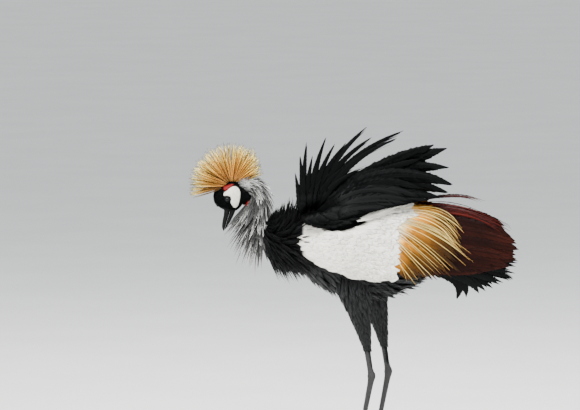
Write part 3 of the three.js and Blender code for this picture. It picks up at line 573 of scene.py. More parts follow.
def meshed(form, name):
    """A mesh of one bmesh form, which it uses up."""
    mesh = bpy.data.meshes.new(name)
    form.to_mesh(mesh)
    form.free()
    return mesh


def gathered(forms, name):
    """One mesh of several bmesh forms, each in millimetres."""
    return joined([meshed(form, "part") for form in forms], name)


def melted(forms, name, voxel, smoothing):
    """Forms that overlap made one even skin, in millimetres."""
    mesh = gathered(forms, name)
    obj = bpy.data.objects.new(name, mesh)
    bpy.context.scene.collection.objects.link(obj)
    remesh = obj.modifiers.new("Remesh", "REMESH")
    remesh.mode = "VOXEL"
    remesh.voxel_size = voxel
    smooth = obj.modifiers.new("Smooth", "SMOOTH")
    smooth.factor = 0.5
    smooth.iterations = smoothing
    evaluated = obj.evaluated_get(bpy.context.evaluated_depsgraph_get())
    made = bpy.data.meshes.new_from_object(evaluated)
    bpy.data.objects.remove(obj)
    bpy.data.meshes.remove(mesh)
    return made


OUTLINE_STEPS = 8  # straight steps between two points of an outline


def mesh_points(mesh):
    points = np.empty(len(mesh.vertices) * 3)
    mesh.vertices.foreach_get("co", points)
    return points.reshape(-1, 3)


def mesh_normals(mesh):
    normals = np.empty(len(mesh.vertices) * 3)
    mesh.vertex_normals.foreach_get("vector", normals)
    return normals.reshape(-1, 3)


def set_points(mesh, points):
    mesh.vertices.foreach_set("co", np.ascontiguousarray(points, dtype=np.float32).ravel())
    mesh.update()


def settle(mesh, points):
    """Points in millimetres put in their place in the frame, and the mesh made smooth."""
    set_points(mesh, placed(points))
    mesh.shade_smooth()
    return mesh


def set_attribute(mesh, name, values):
    layer = mesh.attributes.new(name, "FLOAT", "POINT")
    layer.data.foreach_set("value", np.asarray(values, np.float32))


def outline_distance(x, y, outline):
    """How far points are outside a smooth closed outline, and less than 0 inside."""
    closed = np.array(outline + outline[:1], float)
    ring = through(closed, np.linspace(0, 1, OUTLINE_STEPS * len(outline) + 1))
    start, end = ring[:-1], ring[1:]
    p = np.stack([x, y], -1)[:, None]
    edge = (end - start)[None]
    t = np.clip(((p - start) * edge).sum(-1) / np.maximum((edge**2).sum(-1), 1e-9), 0, 1)
    away = np.linalg.norm(p - (start + t[..., None] * edge), axis=-1).min(1)
    crosses = (start[None, :, 1] > p[..., 1]) != (end[None, :, 1] > p[..., 1])
    rise = np.where(np.abs(edge[..., 1]) < 1e-9, 1e-9, edge[..., 1])
    at = start[None, :, 0] + (p[..., 1] - start[None, :, 1]) / rise * edge[..., 0]
    inside = (crosses & (p[..., 0] < at)).sum(1) % 2 == 1
    return np.where(inside, -away, away)


# Materials.


def srgb(*shown):
    """A colour as a screen shows it, 0 to 255, in linear light."""
    linear = [((c / 255 + 0.055) / 1.055) ** 2.4 if c > 10 else c / 255 / 12.92 for c in shown]
    return (*linear, 1.0)


def darker(colour, share):
    """A share of a colour. One over 1 makes it lighter."""
    return tuple(min(1.0, c * share) for c in tuple(colour)[:3]) + (1.0,)


class Shading:
    """A material's nodes, made and linked in a few words."""

    def __init__(self, name):
        self.material = bpy.data.materials.new(name)
        self.material.use_nodes = True
        self.tree = self.material.node_tree
        self.shader = self.tree.nodes["Principled BSDF"]

    def node(self, kind, inputs=None, **settings):
        made = self.tree.nodes.new("ShaderNode" + kind)
        for key, value in settings.items():
            setattr(made, key, value)
        for key, value in (inputs or {}).items():
            self.feed(made.inputs[key], value)
        return made

    def feed(self, socket, value):
        if isinstance(value, bpy.types.NodeSocket):
            self.tree.links.new(value, socket)
        else:
            socket.default_value = value

    def math(self, operation, a, b=0.0, c=0.0):
        return self.node("Math", {0: a, 1: b, 2: c}, operation=operation).outputs[0]

    def between(self, value, low, high, to_low=0.0, to_high=1.0):
        inputs = {0: value, 1: low, 2: high, 3: to_low, 4: to_high}
        return self.node("MapRange", inputs, interpolation_type="SMOOTHSTEP").outputs[0]

    def ramp(self, value, stops):
        made = self.node("ValToRGB", {0: value})
        ramp = made.color_ramp
        while len(ramp.elements) < len(stops):
            ramp.elements.new(1.0)
        for element, (place, colour) in zip(ramp.elements, stops):
            element.position = place
            element.color = colour
        return made.outputs[0]

    def blend(self, share, a, b, kind="MIX"):
        made = self.node("Mix", data_type="RGBA", blend_type=kind)
        for socket, value in ((made.inputs[0], share), (made.inputs[6], a), (made.inputs[7], b)):
            self.feed(socket, value)
        return made.outputs[2]

    def noise(self, vector, scale, detail=3.0):
        inputs = {"Vector": vector, "Scale": scale, "Detail": detail, "Roughness": 0.55}
        return self.node("TexNoise", inputs).outputs["Fac"]

    def voronoi(self, vector, scale, feature="F1"):
        inputs = {"Vector": vector, "Scale": scale}
        return self.node("TexVoronoi", inputs, feature=feature).outputs["Distance"]

    def place(self):
        return self.node("TexCoord").outputs["Object"]

    def attribute(self, name):
        return self.node("Attribute", attribute_name=name).outputs["Fac"]

    def bump(self, height, strength, distance):
        inputs = {"Height": height, "Strength": strength, "Distance": distance}
        return self.node("Bump", inputs).outputs[0]

    def finish(self, colour, roughness, normal=None, specular=0.5, coat=0.0):
        self.feed(self.shader.inputs["Base Color"], colour)
        self.feed(self.shader.inputs["Roughness"], roughness)
        self.shader.inputs["Specular IOR Level"].default_value = specular
        if coat:
            self.shader.inputs["Coat Weight"].default_value = coat
            self.shader.inputs["Coat Roughness"].default_value = 0.04
        if normal is not None:
            self.feed(self.shader.inputs["Normal"], normal)
        return self.material


def plumage_material(name, base, stops, edge=None, shaft=None, spread=0.3, streaks=0.25, roughness=0.6,
                     specular=0.3, barb_lines=90.0, edge_from=0.7, shaft_wide=0.13, relief=0.35):
    """Feathers: colour along the vane, edge, shaft, fine barb lines, and a tint for each.

    The stops run from root to tip, each with a share of the base colour or a colour of its
    own. The edge and the shaft are shares of the base colour too.
    """
    s = Shading(name)
    stops = [(place, darker(base, look) if np.isscalar(look) else look) for place, look in stops]
    uv = s.node("UVMap", uv_map="Vane").outputs[0]
    split = s.node("SeparateXYZ", {0: uv})
    across, along = split.outputs[0], split.outputs[1]
    off = s.math("ABSOLUTE", s.math("MULTIPLY_ADD", across, 2.0, -1.0))
    tint = s.attribute("Tint")
    colour = s.ramp(along, stops)
    if edge is not None:
        colour = s.blend(s.between(off, edge_from, 1.0), colour, darker(base, edge))
    slanted = s.math("SUBTRACT", s.math("MULTIPLY", along, barb_lines), s.math("MULTIPLY", off, 9.0))
    lines_at = s.node("CombineXYZ", {0: slanted, 1: s.math("MULTIPLY", tint, 60.0), 2: 0.0}).outputs[0]
    lines = s.noise(lines_at, 1.0, 2.0)
    dim = s.between(lines, 0.3, 0.7, 1.0 - streaks, 1.0 + streaks)
    each = s.between(tint, 0.0, 1.0, 1.0 - spread, 1.0 + spread)
    patch = s.between(s.noise(s.place(), 14.0), 0.3, 0.7, 0.86, 1.12)
    level = s.math("MULTIPLY", s.math("MULTIPLY", dim, each), patch)
    grey = s.node("CombineColor", {0: level, 1: level, 2: level}).outputs[0]
    colour = s.blend(1.0, colour, grey, "MULTIPLY")
    if shaft is not None:
        colour = s.blend(s.between(off, shaft_wide, 0.03), colour, darker(base, shaft))
    rough = s.between(lines, 0.2, 0.8, roughness - 0.08, roughness + 0.1)
    normal = s.bump(lines, relief, 0.0005)
    return s.finish(colour, rough, normal, specular)


# Sizes and colours that a user may change.


class CraneSizes(bpy.types.PropertyGroup):
    crest_bristles: IntProperty(
        name="Crest bristles", description="Stiff bristles in the crown's fan", default=600, min=60)
    crest_reach: FloatProperty(
        name="Crest reach", description="From the crown to the bristles' tips", default=0.105,
        unit="LENGTH")
    hackle_width: FloatProperty(
        name="Hackle width", description="Across one plume of the neck", default=0.008, unit="LENGTH")
    body_voxel: FloatProperty(
        name="Body detail", description="Size of the cells that the body's skin is made of",
        default=0.0034, precision=4, unit="LENGTH")
    head_voxel: FloatProperty(
        name="Head detail", description="Size of the cells that the head's skin is made of",
        default=0.0011, precision=4, unit="LENGTH")


def colour_property(name, text, colour):
    return FloatVectorProperty(name=name, description=text, subtype="COLOR", size=4, min=0, max=1,
                               default=colour)


class CraneColours(bpy.types.PropertyGroup):
    black: colour_property("Black", "Plumes of the mantle and breast", srgb(5, 6, 6))
    velvet: colour_property("Velvet", "Short feathers of the forehead", srgb(5, 6, 6))
    slate: colour_property("Slate", "Feathers of the back and belly", srgb(18, 19, 20))
    grey: colour_property("Grey", "Plumes of the neck", srgb(172, 172, 168))
    white: colour_property("White", "Coverts of the wing", srgb(254, 250, 238))
    gold: colour_property("Gold", "Long coverts behind the white", srgb(170, 106, 12))
    cream: colour_property("Cream", "Threads over the gold", srgb(252, 220, 128))
    chestnut: colour_property("Chestnut", "Inner flight feathers", srgb(36, 11, 6))
    straw: colour_property("Straw", "Bristles of the crest", srgb(214, 154, 60))
    red: colour_property("Red", "Bare skin of the brow and wattle", srgb(134, 1, 2))
    cheek: colour_property("Cheek", "Bare skin of the cheek", srgb(240, 236, 222))
    horn: colour_property("Horn", "Bill", srgb(10, 11, 11))
    scales: colour_property("Scales", "Legs and toes", srgb(38, 38, 37))


# Skin.


HEAD_ROWS, HEAD_SIDES = 49, 56
NECK_SIDES = 40
TORSO_ROWS, TORSO_SIDES = 60, 72
ARM_ROWS = 36


def head_form(grow):
    stations = through(HEAD_STATIONS, np.linspace(0, 1, HEAD_ROWS))
    forward, crown, throat, wide = (stations[:, k, None] for k in range(4))
    angle = turns(HEAD_SIDES)[None]
    up = (crown + throat) / 2 + np.sin(angle) * ((crown - throat) / 2 + grow)
    return loft(head_point(forward + 0 * angle, up, np.cos(angle) * (wide + grow)))


def neck_form(low, high, rows, grow):
    t = np.linspace(low, high, rows)[:, None] * np.ones((1, NECK_SIDES))
    return loft(neck_point(t, turns(NECK_SIDES)[None] * np.ones((rows, 1)), grow))


def torso_form(grow):
    x = through(TORSO_STATIONS, np.linspace(0, 1, TORSO_ROWS))[:, :1]
    return loft(torso_point(x, turns(TORSO_SIDES)[None] * np.ones((TORSO_ROWS, 1)), grow))


def arm_form(side, inner, outer, rows=16):
    """The white arm, a slab between two depths off the wing's face."""
    stations = through(ARM_OUTLINE, np.linspace(0, 1, ARM_ROWS))
    x, low, high = (stations[:, k, None] for k in range(3))
    z = mix(low, high, np.linspace(0.03, 0.97, rows)[None])
    outside, inside = wing_skin(side, x, z, outer), wing_skin(side, x, z, inner)
    return loft(np.concatenate([outside, inside[:, ::-1]], axis=1))


def tube_form(path, radii, sides=28, rows=40):
    """A tube with an oval section, [deep, wide] at each point of its path."""
    share = np.linspace(0, 1, rows)
    middle = through(path, share)
    size = through(radii, share)
    along = unit(np.gradient(middle, axis=0))
    side = unit(np.cross(along, (0, 1, 0.001)))
    other = np.cross(along, side)
    turn = turns(sides)[None, :, None]
    deep, wide = size[:, :1, None], size[:, 1:, None]
    return loft(middle[:, None] + side[:, None] * deep * np.cos(turn) + other[:, None] * wide * np.sin(turn))


THIGH_RADII = [[42, 24], [36, 23], [18.5, 14.5], [8.6, 8], [7, 7]]


def thigh_form(side):
    path = leg_path(side)
    return tube_form([path[k] for k in ("hip", "thigh", "calf", "bare", "hock")], THIGH_RADII)


LID_RADIUS = 5.9
LID_THICKNESS = 1.25
LID_OUT = 3.6
LID_SQUASH = 0.84
MARKINGS_OUT = 7  # the cheek and brow lie further out from the middle plane than this
SOCKET_OUT = 12
SOCKET_DEPTH = 6
HOLLOW_RADIUS = 9  # of the shallow hollow round the lids


def lid_form(side):
    """A lid all round the eye, a little flattened from above and below."""
    bm = bmesh.new()
    bmesh.ops.create_circle(bm, segments=10, radius=LID_THICKNESS)
    turned = Matrix.Translation((LID_RADIUS, 0, 0)) @ Matrix.Rotation(pi / 2, 4, "X")
    bmesh.ops.transform(bm, matrix=turned, verts=bm.verts)
    bmesh.ops.spin(bm, geom=bm.verts[:] + bm.edges[:], axis=(0, 0, 1), cent=(0, 0, 0),
                   angle=2 * pi, steps=32, use_merge=True)
    place = Matrix.Identity(4)
    middle = head_point(EYE_FORWARD, EYE_UP, side * (EYE_OUT + LID_OUT))
    columns = (HEAD_FORWARD, HEAD_UP * LID_SQUASH, OUTWARD * side, middle)
    for k, column in enumerate(columns):
        for row in range(3):
            place[row][k] = column[row]
    bmesh.ops.transform(bm, matrix=place, verts=bm.verts)
    bmesh.ops.recalc_face_normals(bm, faces=bm.faces)
    return bm


def shaped_head(mesh):
    """Sockets, raised bare skin and the fold under the brow, pressed into the head."""
    points, normals = mesh_points(mesh), mesh_normals(mesh)
    f, u, o = head_measures(points)
    side = np.sign(o)
    outer = np.abs(o) > MARKINGS_OUT
    cheek = np.where(outer, outline_distance(f, u, CHEEK_OUTLINE), 10)
    brow = np.where(outer, outline_distance(f, u, BROW_OUTLINE), 10)
    points += normals * (0.9 * ease(-cheek, -0.6, 2.2) + 0.5 * ease(-brow, -0.5, 1.5))[:, None]
    points -= normals * (0.5 * np.exp(-((cheek - 1.2) / 1.0) ** 2))[:, None]
    round_eye = np.hypot(f - EYE_FORWARD, (u - EYE_UP) / LID_SQUASH)
    sunk = (1 - ease(round_eye, 4.2, 5.4)) * (np.abs(o) > SOCKET_OUT)
    points -= (OUTWARD * side[:, None]) * (sunk * SOCKET_DEPTH)[:, None]
    hollow = np.exp(-((round_eye - HOLLOW_RADIUS) / 2.0) ** 2) * (np.abs(o) > SOCKET_OUT)
    points -= normals * (0.6 * hollow)[:, None]
    set_points(mesh, points)
    return mesh


NECK_STEPS = 119
MARKING_REACH = 75  # the head's markings all lie as near to its middle as this


def mark_skin(mesh, points):
    """How far each place is from the edge of each marking."""
    f, u, o = head_measures(points)
    near = (np.linalg.norm(points - HEAD_CENTRE, axis=1) < MARKING_REACH) & (np.abs(o) > MARKINGS_OUT)
    for name, outline in (("Cheek", CHEEK_OUTLINE), ("Brow", BROW_OUTLINE)):
        away = np.full(len(points), 10.0)
        away[near] = np.clip(outline_distance(f[near], u[near], outline), -10, 10)
        set_attribute(mesh, name, away)
    x, y, z = points.T
    near_neck = nearest(points, NECK.at(np.linspace(0, 1, NECK_STEPS + 1))) / NECK_STEPS
    on_neck = (x < -150) * ease(x, -274, -266) * np.maximum(ease(z, 654, 664), ease(near_neck, 0.3, 0.36))
    set_attribute(mesh, "Neck", on_neck * (1 - ease(near_neck, 0.52, 0.6)))
    set_attribute(mesh, "Body", np.maximum(ease(x, -200, -190), (near_neck > 0.6)))
    low, high = arm_edges(x)
    on_wing = ease(np.abs(y) - wing_face(x, z), -22, -12)
    on_wing = on_wing * ease(z, low - 6, low + 4) * (1 - ease(z, high, high + 8))
    set_attribute(mesh, "Wing", on_wing * ease(x, -128, -118) * (1 - ease(x, 112, 120)))


def skin_material(colours):
    s = Shading("Skin")
    place = s.place()
    fine = s.noise(place, 900.0, 3.0)
    coarse = s.noise(place, 120.0, 3.0)
    pebbles = s.voronoi(place, 1500.0)
    cheek = s.between(s.attribute("Cheek"), 0.35, -0.35)
    brow = s.between(s.attribute("Brow"), 0.45, -0.45)
    black = s.blend(fine, colours.velvet, darker(colours.velvet, 1.8))
    # The neck's skin under the plumes is painted near black: painted shade in the gaps between the plumes.
    grey = s.blend(coarse, darker(colours.grey, 0.06), darker(colours.grey, 0.16))
    colour = s.blend(s.attribute("Neck"), black, grey)
    slate = s.blend(coarse, darker(colours.slate, 0.5), darker(colours.slate, 0.9))
    colour = s.blend(s.attribute("Body"), colour, slate)
    white = s.blend(coarse, darker(colours.white, 0.8), colours.white)
    colour = s.blend(s.attribute("Wing"), colour, white)
    bare = s.ramp(coarse, [(0.3, darker(colours.cheek, 0.78)), (0.6, colours.cheek)])
    rim = s.between(s.attribute("Cheek"), -3.0, -0.4)
    bare = s.blend(s.math("MULTIPLY", rim, 0.35), bare, darker(colours.cheek, 0.6))
    colour = s.blend(cheek, colour, bare)
    red = s.blend(s.between(pebbles, 0.2, 0.7), darker(colours.red, 1.15), darker(colours.red, 0.55))
    colour = s.blend(brow, colour, red)
    naked = s.math("MAXIMUM", cheek, brow)
    rough = s.between(naked, 0.0, 1.0, 0.9, 0.48)
    lumps = s.math("MULTIPLY_ADD", pebbles, 0.5, s.math("MULTIPLY", coarse, 1.2))
    height = s.blend(naked, fine, lumps)
    normal = s.bump(height, 0.5, 0.0005)
    return s.finish(colour, rough, normal, specular=0.15)


# How far the bare forms lie under the surface that the feathers make up.
HEAD_UNDER, THROAT_UNDER, NAPE_UNDER = 0.7, 1, 1.6
BODY_UNDER, NECK_UNDER, MANTLE_UNDER, ARM_UNDER = 2.2, 2.4, 4, 2.6
RUMP_CENTRE, RUMP_RADII = (236, 0, 524), (24, 21, 15)
HEAD_SMOOTHING, BODY_SMOOTHING = 2, 6


def make_skin(sizes, colours):
    head = melted(
        [head_form(-HEAD_UNDER), ball(THROAT_CENTRE, [r - THROAT_UNDER for r in THROAT_RADII]),
         neck_form(0, 0.3, 40, -NAPE_UNDER), ball(CREST_CENTRE + (0, 0, 2), (19, 13, 14)),
         lid_form(LEFT), lid_form(RIGHT)],
        "head", sizes.head_voxel / MM, HEAD_SMOOTHING,
    )
    shaped_head(head)
    body = melted(
        [torso_form(-BODY_UNDER), neck_form(0.14, 0.97, 60, -NECK_UNDER),
         ball(MANTLE_CENTRE, [r - MANTLE_UNDER for r in MANTLE_RADII], 40), ball(RUMP_CENTRE, RUMP_RADII),
         *(arm_form(side, -ARM_THICKNESS + 4, -ARM_UNDER) for side in (LEFT, RIGHT)),
         *(thigh_form(side) for side in (LEFT, RIGHT))],
        "body", sizes.body_voxel / MM, BODY_SMOOTHING,
    )
    mesh = joined([head, body], "skin")
    points = mesh_points(mesh)
    mark_skin(mesh, points)
    settle(mesh, points)
    nodes = ["head", "torso", "neck_upper", "neck_middle", "neck_lower"]
    nodes += [f"{part}_{name}" for part in ("wing", "thigh", "cheek") for name in SIDES]
    return piece("skin", mesh, skin_material(colours), nodes)


# Face: bill, eyes and wattle.


NOSTRIL_FORWARD = 46
MANDIBLE_ROWS, MANDIBLE_SIDES = 96, 56
PUPIL_BLACK = (0.002, 0.002, 0.002, 1)


def mandible(stations, ridge, name, nostrils):
    """Half of the bill, with a ridge along its edge and slits for nostrils."""
    rows, sides = MANDIBLE_ROWS, MANDIBLE_SIDES
    s = through(stations, np.linspace(0, 1, rows))
    forward, high, low, wide = (s[:, k, None] for k in range(4))
    angle = turns(sides)[None]
    rise, across = np.sin(angle), np.cos(angle)
    narrowed = 1 - ridge * np.clip(rise, 0, 1) - 0.1 * np.clip(-rise, 0, 1)
    up = (high + low) / 2 + np.sign(rise) * np.abs(rise) ** 0.9 * (high - low) / 2
    out = across * wide * narrowed
    if nostrils:
        past = forward - NOSTRIL_FORWARD
        slit = np.exp(-((past / 5.5) ** 4) - (up + past * 0.16 - 0.6) ** 2)
        groove = 0.5 * np.exp(-(((past + 2) / 14) ** 4) - ((up + past * 0.12 - 0.4) / 2.4) ** 2)
        out = out - np.sign(out) * (2.2 * slit + groove) * (np.abs(across) > 0.4)
    mesh = meshed(loft(head_point(forward + 0 * angle, up, out)), name)
    return settle(mesh, mesh_points(mesh))


def horn_material(name, colour, roughness, grain=260.0):
    s = Shading(name)
    place = s.place()
    along = s.node("Mapping", {"Vector": place, "Scale": (3.0, 3.0, 0.6)}).outputs[0]
    streaks = s.noise(along, grain, 4.0)
    cloud = s.noise(place, 60.0, 3.0)
    base = s.ramp(streaks, [(0.35, darker(colour, 0.6)), (0.65, darker(colour, 1.5))])
    base = s.blend(s.between(cloud, 0.5, 0.8), base, darker(colour, 1.8))
    rough = s.between(cloud, 0.3, 0.7, roughness - 0.08, roughness + 0.14)
    return s.finish(base, rough, s.bump(streaks, 0.25, 0.0003), specular=0.13)


def make_bill(colours):
    horn = horn_material("Bill horn", colours.horn, 0.4)
    upper = mandible(BILL_UPPER, 0.3, "bill_upper", True)
    lower = mandible(BILL_LOWER, 0.0, "bill_lower", False)
    piece("upper_bill", upper, horn, ["bill_upper"])
    piece("lower_bill", lower, horn, ["bill_lower"])


def eye_material():
    s = Shading("Eye")
    gaze = s.attribute("Gaze")
    spokes = s.noise(s.place(), 1600.0, 3.0)
    # The iris is painted dark, as the shade that the eye lies in; the crane's own iris is pale grey-blue. It
    # darkens to black at its rim, painted shade under the lids.
    stops = [
        (0.0, PUPIL_BLACK), (0.50, PUPIL_BLACK), (0.53, srgb(16, 18, 20)), (0.64, srgb(40, 44, 47)),
        (0.69, srgb(14, 16, 17)), (0.74, srgb(5, 5, 5)),
    ]
    dim = [(place, darker(colour, 0.6)) for place, colour in stops]
    colour = s.blend(s.between(spokes, 0.3, 0.7), s.ramp(gaze, stops), s.ramp(gaze, dim))
    return s.finish(colour, 0.16, specular=0.12, coat=0.2)


def make_eyes():
    shine = eye_material()
    for name, side in SIDES.items():
        centre = head_point(EYE_FORWARD, EYE_UP, side * EYE_OUT)
        bm = ball((0, 0, 0), (1, 1, 1), 48)
        bmesh.ops.rotate(bm, cent=(0, 0, 0), matrix=Matrix.Rotation(pi / 2, 3, "X"), verts=bm.verts)
        mesh = meshed(bm, "eye_" + name)
        way = mesh_points(mesh)
        gaze = np.sqrt(np.clip(1 - (way[:, 1] * side) ** 2, 0, 1)) + 2 * (way[:, 1] * side < 0)
        cornea = 1 + 0.05 * np.clip(1 - gaze / 0.6, 0, 1)
        set_attribute(mesh, "Gaze", np.clip(gaze, 0, 1))
        settle(mesh, centre + way * EYE_RADIUS * 0.97 * cornea[:, None])
        piece("eyeball_" + name, mesh, shine, ["eye_" + name])


WATTLE_PATH = [[-255, 0, 645], [-256, 0, 637], [-258, 0, 628], [-262, 0, 618], [-266, 0, 609]]
WATTLE_RADII = [[3.5, 6], [5.2, 12], [6, 13.5], [4.6, 8.5], [0.9, 1.5]]


def make_wattle(colours):
    mesh = meshed(tube_form(WATTLE_PATH, WATTLE_RADII, 32, 40), "wattle")
    points, normals = mesh_points(mesh), mesh_normals(mesh)
    folds = np.sin(points[:, 2] * 1.5 + 2 * np.sin(points[:, 1] * 0.7)) * 0.35
    settle(mesh, points + normals * folds[:, None])
    s = Shading("Wattle skin")
    pebbles = s.voronoi(s.place(), 1100.0)
    colour = s.blend(s.between(pebbles, 0.15, 0.7), darker(colours.red, 1.1), darker(colours.red, 0.5))
    red = s.finish(colour, 0.45, s.bump(pebbles, 0.5, 0.0006), specular=0.2)
    piece("throat_wattle", mesh, red, ["wattle"])


# Crest.

CREST_FIRST_ANGLE, CREST_LAST_ANGLE = 22, 195.5  # degrees up from the crane's hind side
CREST_SIDE_LEAN = 43
GOLDEN_SHARE = 0.618034  # steps that spread the bristles evenly across the fan
CREST_BEADS = 8  # short side hairs on each bristle


def make_crest(sizes, colours):
    rng = np.random.default_rng(11)
    n = sizes.crest_bristles
    reach = sizes.crest_reach / MM
    i = np.arange(n)
    across = (i * GOLDEN_SHARE) % 1 * 2 - 1
    along = np.clip((i + rng.uniform(-3, 3, n)) / n, 0, 1)
    angle = np.radians(mix(CREST_FIRST_ANGLE, CREST_LAST_ANGLE, along) + rng.uniform(-1.6, 1.6, n))
    lean = CREST_SIDE_LEAN * across * (1 - 0.35 * np.abs(2 * along - 1))
    lean = np.radians(lean + rng.uniform(-3, 3, n))
    way = np.stack([np.cos(angle) * np.cos(lean), np.sin(lean), np.sin(angle) * np.cos(lean)], -1)
    behind = ease(np.degrees(angle), 62, 24)
    length = reach * rng.uniform(0.9, 1.03, n) * mix(1, 0.78, behind)
    root = CREST_CENTRE + way * rng.uniform(10, 16, (n, 1))
    tip = CREST_CENTRE + way * length[:, None] + rng.normal(0, 1.5, (n, 3))
    bend = (root + tip) / 2 + rng.normal(0, 1.1, (n, 3))
    face = unit(np.cross(way, rng.normal(0, 1, (n, 3))))
    # About a third of the bristles get a low tint and so are painted dark: painted shade in the gaps between
    # the bristles.
    tint = np.where(rng.uniform(0, 1, n) < 0.34, rng.uniform(0, 0.15, n), rng.uniform(0.5, 0.95, n))
    path = bezier(root, bend, tip, 7)
    stems = Vanes(path, face, rng.uniform(1.5, 2.5, n), bristle, tint, 0.1)
    whole = Plumage().add(stems, SLIVER, 0.9)
    beads = CREST_BEADS
    t0 = 0.12 + 0.86 * (np.arange(beads) + rng.uniform(0, 1, (n, beads))) / beads
    start = stems.sample(stems.path, t0).reshape(-1, 3)
    forward = np.repeat(way, beads, 0)
    outward = unit(np.cross(forward, rng.normal(0, 1, forward.shape)))
    end = start + forward * 4.2 + outward * rng.uniform(1.2, 2.0, (n * beads, 1))
    fuzz = Vanes(bezier(start, (start + end) / 2, end, 2), outward, 0.7, strand, np.repeat(tint, beads), 0.3)
    fuzz.along_uv = np.repeat(t0.reshape(-1, 1), 2, 1)
    spots = np.repeat(unwrapped(root), beads, 0)
    whole.add(fuzz, SLIVER, 0.18, spots=spots)
    stops = [(0.0, srgb(206, 150, 84)), (0.25, srgb(208, 140, 62)), (0.55, 1), (0.78, srgb(232, 190, 88)),
             (0.91, srgb(250, 230, 130)), (0.97, srgb(96, 80, 34)), (1.0, srgb(26, 24, 14))]
    gold = plumage_material("Crest bristles", colours.straw, stops, edge=0.2, spread=0.75, streaks=0.6,
                            roughness=0.5, barb_lines=22.0, edge_from=0.45)
    whole.build("crest_bristles", gold, "bristles", ["crest"])


# Neck.


def staggered(rows, around):
    """Shares of a turn for plumes in rows, every second row half a step on."""
    return ((np.arange(around)[None] + 0.5 * (np.arange(rows) % 2)[:, None]) / around).ravel()


def neck_plumes(rows, rng):
    """Plumes in rows round the neck. Each measure runs from the hind side to the throat."""
    shares = np.linspace(0, 1, rows["count"])
    t = np.repeat(mix(rows["from"], rows["to"], shares), rows["around"])
    t = np.clip(t + rng.uniform(-0.008, 0.008, len(t)), 0.005, 0.96)
    angle = 2 * pi * (staggered(rows["count"], rows["around"]) + rng.uniform(-0.014, 0.014, len(t)))
    share = (t - rows["from"]) / (rows["to"] - rows["from"])
    front = (1 - np.cos(angle)) / 2
    hind_length, throat_length = (through(rows[k], share)[:, 0] for k in ("hind", "throat"))
    length = mix(hind_length, throat_length, front**1.3) * rng.uniform(0.78, 1.12, len(t))
    hind_lift, throat_lift = (through(rows[k], share)[:, 0] for k in ("hind_lift", "throat_lift"))
    lift = mix(hind_lift, throat_lift, 1 - (1 - front) ** rows["laid"])
    lift = np.radians(lift + rng.uniform(-4, 4, len(t)))
    hang = through(rows["hang"], share)
    keep = (front < through(rows["covered"], share)[:, 0]) & (front > through(rows["bare"], share)[:, 0])
    out = out_of_neck(t, angle)
    way = unit(NECK.along(t) + (hang - NECK.along(t)) * (rows["hanging"] * front)[:, None])
    way = way * np.cos(lift)[:, None] + out * np.sin(lift)[:, None]
    raised = ((1 - ease(front, 0.04, 0.5)) * through(rows["raised"], share)[:, 0])[:, None]
    way = unit(mix(way, np.array((0.16, 0, 1.0)), raised))
    base = neck_point(t, angle, -3)
    tip = base + way * length[:, None] + rng.normal(0, 0.03, (len(t), 3)) * length[:, None]
    tip[:, 2] -= rows["drop"] * length
    bend = base + way * (length * 0.5)[:, None] + out * (0.06 * length)[:, None]
    return base[keep], bend[keep], tip[keep], out[keep], front[keep], t[keep]


# Each list runs down the neck. Lengths are in millimetres and lifts in degrees off the skin;
# hang is the way that loose plumes fall, covered and bare are where a row ends and begins.
HACKLES = {
    "from": 0.03, "to": 0.58, "count": 22, "around": 20,
    "hind": [[17], [22], [32], [38], [36], [34], [34]],
    "throat": [[34], [66], [96], [98], [94], [92], [88]],
    "hind_lift": [[12], [13], [16], [20], [18], [14], [12]],
    "throat_lift": [[14], [22], [28], [28], [22], [18], [16]],
    "hang": [[0.2, 0, -1], [-0.25, 0, -1], [-0.55, 0, -1], [-0.45, 0, -1], [-0.25, 0, -1],
             [-0.1, 0, -1]],
    "covered": [[0.45], [0.7], [1.1], [1.1], [1.1], [1.1]],
    "bare": [[-1], [-1], [-1], [-1], [0.02], [0.3], [0.5]],
    "raised": [[0], [0]],
    "hanging": 0.85, "drop": 0.03, "laid": 1.0,
}
RUFF = {
    "from": 0.46, "to": 0.93, "count": 26, "around": 34,
    "hind": [[30], [52], [66], [70], [66]],
    "throat": [[70], [74], [70], [62], [52]],
    "hind_lift": [[80], [90], [90], [84], [72]],
    "throat_lift": [[14], [18], [22], [24], [20]],
    "hang": [[0.0, 0, -1], [0.15, 0, -1], [0.3, 0, -1], [0.5, 0, -1]],
    "covered": [[0.22], [0.6], [1.1], [1.1], [1.1]],
    "bare": [[-1], [-1]],
    "raised": [[0.6], [0.85], [0.8], [0.5], [0.2]],
    "hanging": 0.6, "drop": 0.02, "laid": 2.5,
}


